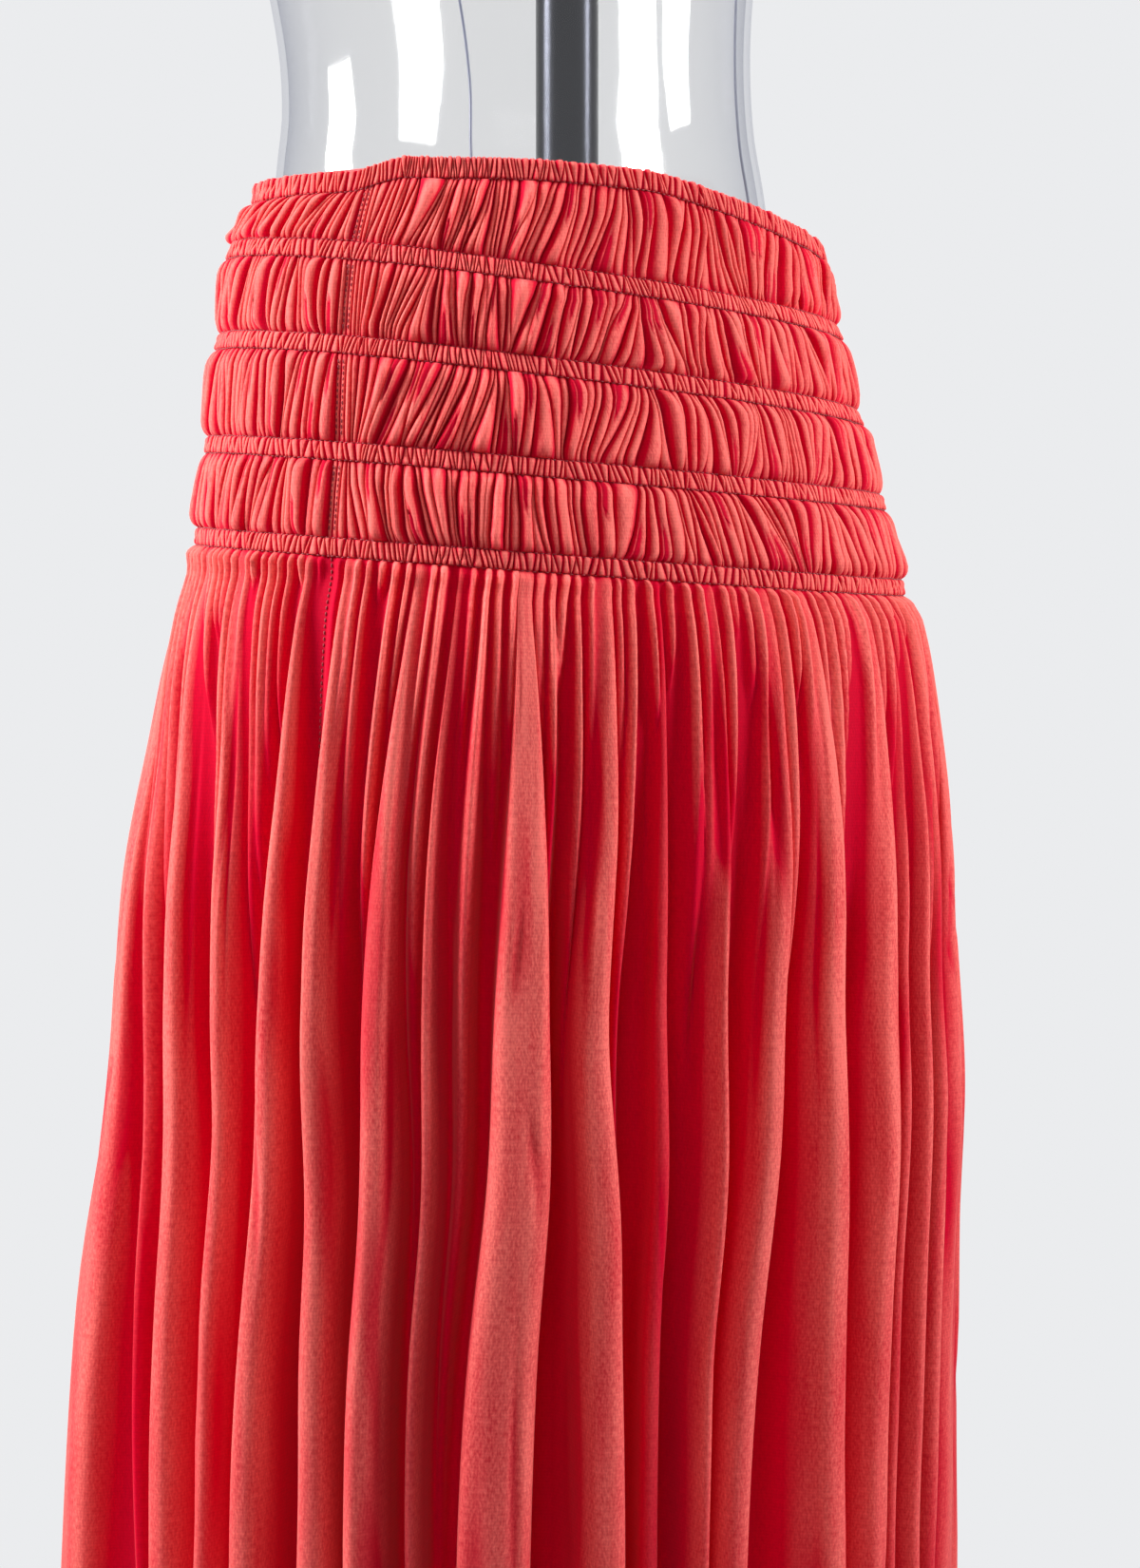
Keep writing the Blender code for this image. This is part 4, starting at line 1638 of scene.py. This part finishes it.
    def dent_field(self, angle: Array, place: Array, height: Array) -> Array:
        """Lengthwise creases that taper at both ends, soft dents and the slanting wrinkles, in metres."""
        draw = np.random.default_rng(self.seed + 2)
        creases = []
        for number in range(self.dents):
            crisp = number % 3 == 0
            wide = draw.uniform(*(self.crisp_wide if crisp else self.soft_wide))
            tall = draw.uniform(*self.dent_tall)
            depth = draw.uniform(*(self.crisp_depth if crisp else self.soft_depth))
            where, level = draw.uniform(0, 1), draw.uniform(*self.dent_levels)
            creases.append(Crease(where, level, wide, tall, depth, draw.normal(0, 0.04)))
        for wrinkle in self.wrinkles:
            row = int(np.argmin(np.abs(height - wrinkle.height)))
            where = place[int(np.argmin(np.abs(angle[row] - radians(wrinkle.degrees))))]
            tall = 0.5 * wrinkle.length_mm * MM
            depth = -wrinkle.depth_mm * MM
            creases.append(Crease(where, wrinkle.height, self.wrinkle_wide, tall, depth, wrinkle.slant))
        dented = np.zeros((len(height), len(place)))
        for crease in creases:
            rows = np.flatnonzero(np.abs(height - crease.level) < 2.5 * crease.tall)
            above = height[rows, None] - crease.level
            down = above / crease.tall
            # narrower towards its ends
            narrow = crease.wide * (0.35 + 0.65 * np.exp(-(down**2)))
            across = (place - crease.where - crease.slant * above) / narrow
            dented[rows] += crease.depth * np.exp(-(across**2) - down**2)
        return dented

    def surface(self, nominal: Array) -> tuple[Array, Array]:
        """The outer surface.

        Args:
            nominal: the rows' heights, before they follow the casing.

        Returns:
            Points, and how near each is to the top of its fold, from 0 to 1, which sets the painted light:
            dents count as lower and get more painted shade.
        """
        angle, share = self.section(nominal)
        place = np.linspace(0, 1, self.columns + 1)
        last = CASINGS[-1]
        drop = self.drops(nominal)
        start, loose = eased(drop / (12 * MM)), eased(drop / 0.09)
        ends = np.minimum(1, np.minimum(place, 1 - place) / 0.02)
        sway = self.soft_noise(place, nominal, 3, 0.07, 0.13) * loose * ends * self.sway
        deep = self.depths(nominal)
        ridges, carried = (part * ends for part in self.gather_field(angle, nominal))
        raised = np.maximum(deep * share, carried) + ridges * (1 - 0.6 * loose * eased(share * 1.4))
        creased = self.dent_field(angle, place, nominal) * loose * ends
        uneven = self.soft_noise(place, nominal, 4, 0.02, 0.05) * loose * ends * self.uneven
        out = raised - deep + creased + uneven
        angle = angle + sway
        height = nominal[:, None] + row_value("tilt", nominal) * (casing_height(last, angle) - last.height)
        near = level_point(form_at(height), angle, ON_FORM + casing_ease(last, angle) + CLOTH + out + deep)
        far = level_point(skirt_at(height), angle, out)
        x, y = (a * (1 - start) + b * start for a, b in zip(near, far))
        high = np.clip(raised / (deep + 1.0 * MM) + 0.3 * np.clip(creased / MM, -1.2, 0), 0, 1)
        pipe = np.clip(ridges / (2.6 * MM), 0, 1) * np.exp(-drop / 0.10)
        return np.stack([x, y, height], axis=-1), np.maximum(high, pipe)

    def build(self, material: Material) -> Object:
        """The skirt as one piece, with its hem turned up inside.

        Args:
            material: the cloth's finish.

        Returns:
            The piece.
        """
        rows = self.heights()
        points, crest = self.surface(rows)
        normal = np.cross(np.gradient(points, axis=0), np.gradient(points, axis=1))
        normal /= np.linalg.norm(normal, axis=-1, keepdims=True)
        turned = np.flatnonzero(rows <= HEM_HEIGHT + self.hem_turn)[::-1]
        inside = points[turned] - normal[turned] * self.hem_gap
        inside[0, :, 2] -= 0.4 * MM
        self.hem_line = points[int(np.argmin(np.abs(rows - HEM_HEIGHT - self.hem_stitch_rise)))]
        self.seam_line = points[:, 1]
        levels = np.concatenate([rows, 2 * HEM_HEIGHT - rows[turned]])
        across = self.half.on_cloth(np.linspace(0, 1, self.columns + 1))
        cloth = np.stack(np.broadcast_arrays(across, levels[:, None]), axis=-1)
        grid = Grid(np.concatenate([points, inside]), cloth, np.concatenate([crest, crest[turned]]))
        return grid_object(f"skirt_{self.half.word}", [grid], material)


# ----------------------------------------------------------------------------------------------------------
# The sewing


@dataclass
class StitchedLines:
    """Lines of lockstitch, each stitch a short length of thread that dips into the cloth at both ends."""

    name: str
    pitch: float = 2.4 * MM
    length: float = 1.8 * MM
    radius: float = 0.26 * MM
    proud: float = 0.2 * MM

    def places(self, path: Array) -> tuple[Array, Array, Array]:
        """Where the stitches of one line lie.

        Args:
            path: the line's points.

        Returns:
            The stitches' middles, directions and outward directions.
        """
        step = np.linalg.norm(np.diff(path, axis=0), axis=1)
        along = running(step)
        at = np.arange(self.pitch / 2, along[-1], self.pitch)
        middle, before, after = (
            np.stack([np.interp(at + d * self.length / 2, along, path[:, i]) for i in range(3)], axis=1)
            for d in (0, -1, 1)
        )
        ahead = after - before
        ahead /= np.linalg.norm(ahead, axis=1, keepdims=True)
        outward = middle * (1, 1, 0)
        outward -= (outward * ahead).sum(axis=1, keepdims=True) * ahead
        outward /= np.linalg.norm(outward, axis=1, keepdims=True)
        return middle, ahead, outward

    def build(self, paths: Sequence[Array], material: Material) -> Object:
        """All the lines as one piece.

        Args:
            paths: the lines' points.
            material: the thread's finish.

        Returns:
            The piece.
        """
        found = [self.places(path) for path in paths]
        middle, ahead, outward = (np.concatenate(parts) for parts in zip(*found))
        sideways = np.cross(ahead, outward)
        # rings along a stitch: how far along, how thick, how far out
        rings = ((-1.0, 0.35, -1.2), (-0.5, 1.0, 0.4), (0.5, 1.0, 0.4), (1.0, 0.35, -1.2))
        corners = [(cos(k * pi / 2 + pi / 4), sin(k * pi / 2 + pi / 4)) for k in range(4)]
        points = []
        for along, thick, out in rings:
            centre = middle + ahead * along * self.length / 2 + outward * (self.proud + out * self.radius)
            points += [centre + (outward * s + sideways * c) * self.radius * thick for c, s in corners]
        vertices = np.stack(points, axis=1)
        template = []
        for ring in range(len(rings) - 1):
            for k in range(4):
                a, b = ring * 4 + k, ring * 4 + (k + 1) % 4
                template.append((a, a + 4, b + 4, b))
        last = (len(rings) - 1) * 4
        template += [(0, 1, 2, 3), (last + 3, last + 2, last + 1, last)]
        starts = np.arange(len(middle))[:, None, None] * len(rings) * 4
        faces = (np.array(template)[None] + starts).reshape(-1, 4)
        mesh = bpy.data.meshes.new(self.name)
        mesh.from_pydata(vertices.reshape(-1, 3).tolist(), [], faces.tolist())
        mesh.shade_smooth()
        mesh.materials.append(material)
        return linked(self.name, mesh)


# ----------------------------------------------------------------------------------------------------------
# What the skirt hangs on


@dataclass
class TorsoForm:
    """The clear, hollow torso form, open below, with the raised line where its mould's halves met."""

    wall: float = 3.0 * MM
    columns: int = 108
    rows: int = 100
    parting_plane: float = -22.5 * MM
    parting_lean: float = 0.115
    waist: float = 1.13
    bead: float = 1.4 * MM
    # above the band the form is smooth, from this height on
    smooth_from: float = 1.085
    smooth_reach: float = 0.03

    def section(self, height: Array) -> list[Array]:
        """The level section at each height: as built under the band, and smooth above it."""
        smooth = [hermite(FORM_HEIGHTS, sizes, height) for sizes in FORM_SIZES.T]
        under = form_at(height)
        above = eased((height - self.smooth_from) / self.smooth_reach)
        return [a * (1 - above) + b * above for a, b in zip(under, smooth)]

    def build(self, outside: Material, inside: Material) -> Object:
        """The form's wall as one piece.

        Args:
            outside: the finish of its outer face and its edges.
            inside: the finish of its inner face, which mirrors nothing.

        Returns:
            The piece.
        """
        angle = np.arange(self.columns) * 2 * pi / self.columns
        heights = np.linspace(FORM_HEIGHTS[-1], FORM_HEIGHTS[0], self.rows)[:, None]
        rings = []
        for level, out in ((heights, 0.0), (heights[::-1], -self.wall)):
            x, y = level_point(self.section(level), angle, out)
            rings.append(np.stack([x, y, level + 0 * x], axis=-1))
        tube = Grid.tube(np.concatenate([*rings, rings[0][:1]]))
        piece = grid_object("torso_clear", [tube], outside)
        piece.data.materials.append(inside)
        row = np.arange(len(piece.data.polygons)) // self.columns
        inner = (row >= self.rows) & (row < 2 * self.rows - 1)
        piece.data.polygons.foreach_set("material_index", inner.astype(np.int32))
        return piece

    def build_line(self, material: Material) -> Object:
        """The parting line: a low bead down each side of the form.

        Args:
            material: its finish.

        Returns:
            The piece.
        """
        heights = np.linspace(FORM_HEIGHTS[-1] - 4 * MM, FORM_HEIGHTS[0] + 4 * MM, 160)
        half_width, half_depth, centre = self.section(heights)
        plane = self.parting_plane + self.parting_lean * (heights - self.waist)
        steep = np.arcsin(np.clip((plane - centre) / half_depth, -1, 1))
        grids = []
        for angle in (steep, pi - steep):
            rows = []
            for turn in np.linspace(0, 2 * pi, 9)[:-1]:
                out = 0.25 * MM + 0.5 * self.bead * cos(turn)
                swing = angle + 0.5 * self.bead * sin(turn) / half_width
                x, y = level_point([half_width, half_depth, centre], swing, out)
                rows.append(np.stack([x, y, heights], axis=-1))
            grids.append(Grid.tube(np.stack(rows, axis=1)))
        return grid_object("torso_parting_line", grids, material)


@dataclass
class DisplayStand:
    """The turned metal stand and the cap in the form's neck."""

    base_radius: float = 0.180
    base_thick: float = 10 * MM
    base_round: float = 3 * MM
    pole_radius: float = 13.5 * MM
    pole_top: float = 1.562
    flange_radius: float = 36 * MM
    flange_thick: float = 5 * MM
    socket_radius: float = 21 * MM
    socket_top: float = 62 * MM
    cap_radius: float = 60 * MM
    cap_thick: float = 9 * MM
    cap_foot: float = 1.5653
    boss_radius: float = 22 * MM
    boss_drop: float = 34 * MM
    gap: float = 0.3 * MM
    steps: int = 144
    sharp_degrees: float = 32

    def turned(self, name: str, profile: Table, material: Material) -> Object:
        """A shape turned about Z.

        Args:
            name: the piece's name.
            profile: (radius, height) points down its outer side, and back up a bore.
            material: its finish.

        Returns:
            The piece.
        """
        solid = profile[0][0] == 0
        count = len(profile)
        edges = [(i, (i + 1) % count) for i in range(count - solid)]
        outline = bpy.data.meshes.new(f"{name}_outline")
        outline.from_pydata([(radius, 0, height) for radius, height in profile], edges, [])
        shape = linked(outline.name, outline)
        screw = shape.modifiers.new("Turn", "SCREW")
        screw.steps = screw.render_steps = self.steps
        screw.use_merge_vertices = True
        screw.merge_threshold = 0.00001
        evaluated = shape.evaluated_get(bpy.context.evaluated_depsgraph_get())
        mesh = bpy.data.meshes.new_from_object(evaluated)
        bpy.data.objects.remove(shape)
        mesh.name = name
        mesh.shade_smooth()
        mesh.set_sharp_from_angle(angle=radians(self.sharp_degrees))
        mesh.materials.append(material)
        return linked(name, mesh)

    @staticmethod
    def rounded(radius: float, height: float, size: float, steps: int = 5) -> list[tuple[float, float]]:
        """A rounded outer top edge.

        Args:
            radius: the edge's radius.
            height: the edge's height.
            size: how far it is rounded.
            steps: the points on the round, less one.

        Returns:
            Profile points from the top face down to the side.
        """
        turns = [k * pi / 2 / steps for k in range(steps + 1)]
        return [(radius - size + size * sin(t), height - size + size * cos(t)) for t in turns]

    def build_base(self, material: Material) -> Object:
        """The round floor plate."""
        side, top = self.base_radius, self.base_thick
        profile = [(0, top), *self.rounded(side, top, self.base_round), (side, 0), (0, 0)]
        return self.turned("stand_base_brushed", profile, material)

    def build_socket(self, material: Material) -> Object:
        """The socket that the pole stands in, with a rounded flange on the base."""
        foot, bore = self.base_thick + self.gap, self.pole_radius + self.gap
        side, top = self.socket_radius, self.socket_top
        flange = foot + self.flange_thick
        profile = [
            (bore, foot), (bore, top - 1 * MM), (bore + 1 * MM, top),
            *self.rounded(side, top, 1.5 * MM),
            (side, flange + 3 * MM), (side + 1 * MM, flange + 1 * MM), (side + 3 * MM, flange),
            *self.rounded(self.flange_radius, flange, 2 * MM),
            (self.flange_radius, foot),
        ]
        return self.turned("pole_socket_chromed", profile, material)

    def build_pole(self, material: Material) -> Object:
        """The pole."""
        side, top, foot = self.pole_radius, self.pole_top, self.base_thick + self.gap
        profile = [(0, top), *self.rounded(side, top, 1 * MM), (side, foot), (0, foot)]
        return self.turned("pole_chromed", profile, material)

    def build_cap(self, material: Material) -> Object:
        """The neck cap, whose boss grips the pole's top."""
        foot, bore = self.cap_foot, self.pole_radius + self.gap
        top, low, roof = foot + self.cap_thick, foot - self.boss_drop, self.pole_top + self.gap
        profile = [
            (0, top), *self.rounded(self.cap_radius, top, 3 * MM), (self.cap_radius, foot),
            (self.boss_radius, foot), (self.boss_radius, low), (bore, low), (bore, roof), (0, roof),
        ]
        return self.turned("neck_cap_moulded", profile, material)


# ----------------------------------------------------------------------------------------------------------
# The studio


def on_circle(degrees: float, distance: float, height: float) -> tuple[float, float, float]:
    """A place on a circle round the stand."""
    return distance * cos(radians(degrees)), distance * sin(radians(degrees)), height


@dataclass(frozen=True)
class Softbox:
    """A soft light turned to the skirt: where it stands round it, how big and how strong it is."""

    name: str
    degrees: float
    distance: float
    height: float
    width: float
    tall: float
    watts: float
    mirrored: bool = True
    aim: float = 0.9

    def build(self) -> None:
        """Sets up the light, facing the skirt."""
        light = bpy.data.lights.new(self.name, "AREA")
        light.shape = "RECTANGLE"
        light.size, light.size_y = self.width, self.tall
        light.energy = self.watts
        lamp = linked(self.name, light)
        lamp.visible_glossy = self.mirrored
        lamp.location = on_circle(self.degrees, self.distance, self.height)
        facing = Vector((0, 0, self.aim)) - lamp.location
        lamp.rotation_euler = facing.to_track_quat("-Z", "Y").to_euler()


@dataclass
class Studio:
    """A pale floor, a pale surround, four softboxes and the camera."""

    camera_degrees: float = 215.0
    camera_distance: float = 1.2
    camera_height: float = 0.92
    pitch: float = 4.47
    heading_shift: float = 0.06
    lens: float = 62.84
    surround: str = "#EBECEE"
    surround_light: float = 0.20
    floor_colour: str = "#BEBFC0"
    floor_radius: float = 9.0
    # the floor fades into the surround from the first distance to the second
    fade: tuple[float, float] = (0.45, 1.15)
    softboxes: tuple[Softbox, ...] = (
        Softbox("softbox_left", 134, 1.7, 2.01, 0.7, 1.2, 104),
        Softbox("softbox_right", 296, 1.8, 2.06, 0.6, 1.2, 70),
        Softbox("softbox_front", 205, 2.4, 2.2, 0.9, 0.8, 18, mirrored=False),
        Softbox("softbox_behind", 35, 2.2, 1.9, 1.6, 1.2, 24, mirrored=False),
    )

    def build_camera(self) -> None:
        """The camera, level with the skirt's band and looking a little down."""
        camera = bpy.data.cameras.new("camera")
        camera.sensor_fit = "VERTICAL"
        camera.sensor_height = 36
        camera.lens = self.lens
        camera.clip_start = 0.05
        eye = linked("camera", camera)
        eye.location = on_circle(self.camera_degrees, self.camera_distance, self.camera_height)
        heading = radians(self.camera_degrees + 180 - self.heading_shift)
        eye.rotation_euler = (radians(90 - self.pitch), 0, heading - pi / 2)
        bpy.context.scene.camera = eye

    def build_surround(self) -> None:
        """Pale paper all round, which shows brighter than it lights."""
        world = bpy.data.worlds.new("paper_surround")
        world.use_nodes = True
        world.node_tree.nodes.clear()
        seen, light = (
            add_node(world, "Background", {"Color": linear(self.surround), "Strength": strength})
            for strength in (1.0, self.surround_light)
        )
        path = add_node(world, "LightPath")
        either = add_node(
            world, "Math", {"operation": "MAXIMUM"},
            in_0=path.outputs["Is Camera Ray"], in_1=path.outputs["Is Glossy Ray"]
        )
        mix = add_node(world, "MixShader", in_0=either, in_1=light, in_2=seen)
        add_node(world, "OutputWorld", Surface=mix)
        bpy.context.scene.world = world
        bpy.context.scene.view_settings.view_transform = "Standard"

    def build_floor(self) -> None:
        """The floor: pale paper that fades into the surround with distance."""
        bpy.ops.mesh.primitive_circle_add(
            vertices=96, radius=self.floor_radius, fill_type="NGON", location=(0, 0, -0.5 * MM)
        )
        floor = bpy.context.object
        floor.name = "studio_floor"
        material = new_material("floor_paper_matt")
        where = add_node(material, "TexCoord").outputs["Object"]
        fibre = add_node(material, "TexNoise", {"Scale": 40.0, "Detail": 3.0}, Vector=where)
        rough = add_node(material, "MapRange", {"To Min": 0.75, "To Max": 0.95}, Value=fibre.outputs["Fac"])
        paper = add_node(
            material, "BsdfPrincipled",
            {"Base Color": linear(self.floor_colour), "Specular IOR Level": 0.2}, Roughness=rough
        )
        away = add_node(material, "VectorMath", {"operation": "LENGTH"}, in_0=where)
        fade = add_node(
            material,
            "MapRange",
            {"interpolation_type": "SMOOTHSTEP", "From Min": self.fade[0], "From Max": self.fade[1]},
            Value=away.outputs["Value"],
        )
        clear = add_node(material, "BsdfTransparent")
        both = add_node(material, "MixShader", in_0=fade, in_1=paper, in_2=clear)
        floor.data.materials.append(surfaced(material, both))

    def build(self) -> None:
        """Sets up the whole studio."""
        self.build_camera()
        self.build_surround()
        self.build_floor()
        for softbox in self.softboxes:
            softbox.build()


# ----------------------------------------------------------------------------------------------------------
# The whole part


def placed(piece: Object, slot: Slot, *nodes: str) -> Object:
    """Puts a piece in the frame.

    Args:
        piece: the piece.
        slot: the record's slot; not used.
        nodes: the solids that it stands for.

    Returns:
        The same piece.
    """
    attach(piece, BODY)
    if nodes:
        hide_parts(*nodes)
    LOG.info("%s: %d faces", piece.name, len(piece.data.polygons))
    return piece


def dress_node(name: str, material: Material) -> None:
    """Gives a solid that stays as it is its finish."""
    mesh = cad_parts[name].data
    mesh.materials.clear()
    mesh.materials.append(material)
    LOG.info("%s: dressed with %s", name, material.name)


def make_skirt(thread: Material, crepe: Material) -> None:
    """Both halves of the skirt and their sewing.

    Args:
        thread: the thread's finish.
        crepe: the cloth's finish.
    """
    for half, pleats, wrinkles, puffs, seed in (
        (Half.BACK, BACK_PLEATS, BACK_WRINKLES, BACK_PUFFS, 100),
        (Half.FRONT, FRONT_PLEATS, FRONT_WRINKLES, FRONT_PUFFS, 300),
    ):
        band = ShirredBand(half, seed, puffs)
        skirt = HangingSkirt(half, seed + 500, pleats, wrinkles)
        upper = placed(band.build(crepe), Slot.CREPE, half.node)
        lower = placed(skirt.build(crepe), Slot.CREPE, half.node)
        lines = StitchedLines(f"stitches_band_{half.word}")
        sewn = placed(lines.build(band.stitched() + [skirt.seam_line], thread), Slot.CREPE)
        lines = StitchedLines(f"stitches_hem_{half.word}", pitch=3.0 * MM, length=2.3 * MM)
        hem = placed(lines.build([skirt.hem_line], thread), Slot.CREPE)


def make_form_and_stand() -> None:
    """The torso form, its cap and the stand."""
    form = TorsoForm()
    placed(form.build(CLEAR_OUTSIDE.make(), CLEAR_INSIDE.make()), Slot.CLEAR, "torso_form")
    placed(form.build_line(PARTING_LINE.make()), Slot.CLEAR)
    stand = DisplayStand()
    placed(stand.build_base(BRUSHED_STEEL.make()), Slot.STEEL, "stand_base")
    placed(stand.build_socket(SOCKET_CHROME.make()), Slot.CHROME, "pole_socket")
    placed(stand.build_pole(DARK_CHROME.make()), Slot.CHROME, "pole")
    placed(stand.build_cap(MouldedPlasticFinish().make()), Slot.BLACK, "neck_cap")


def main() -> None:
    """Builds the studio, the skirt and what it hangs on."""
    logging.basicConfig(level=logging.INFO, format="%(message)s")
    Studio().build()
    make_skirt(ThreadFinish().make(), CrepeFinish().make())
    elastic = ElasticFinish().make()
    for name in ELASTICS:
        dress_node(name, elastic)
    make_form_and_stand()


if __name__ == "__main__":
    main()
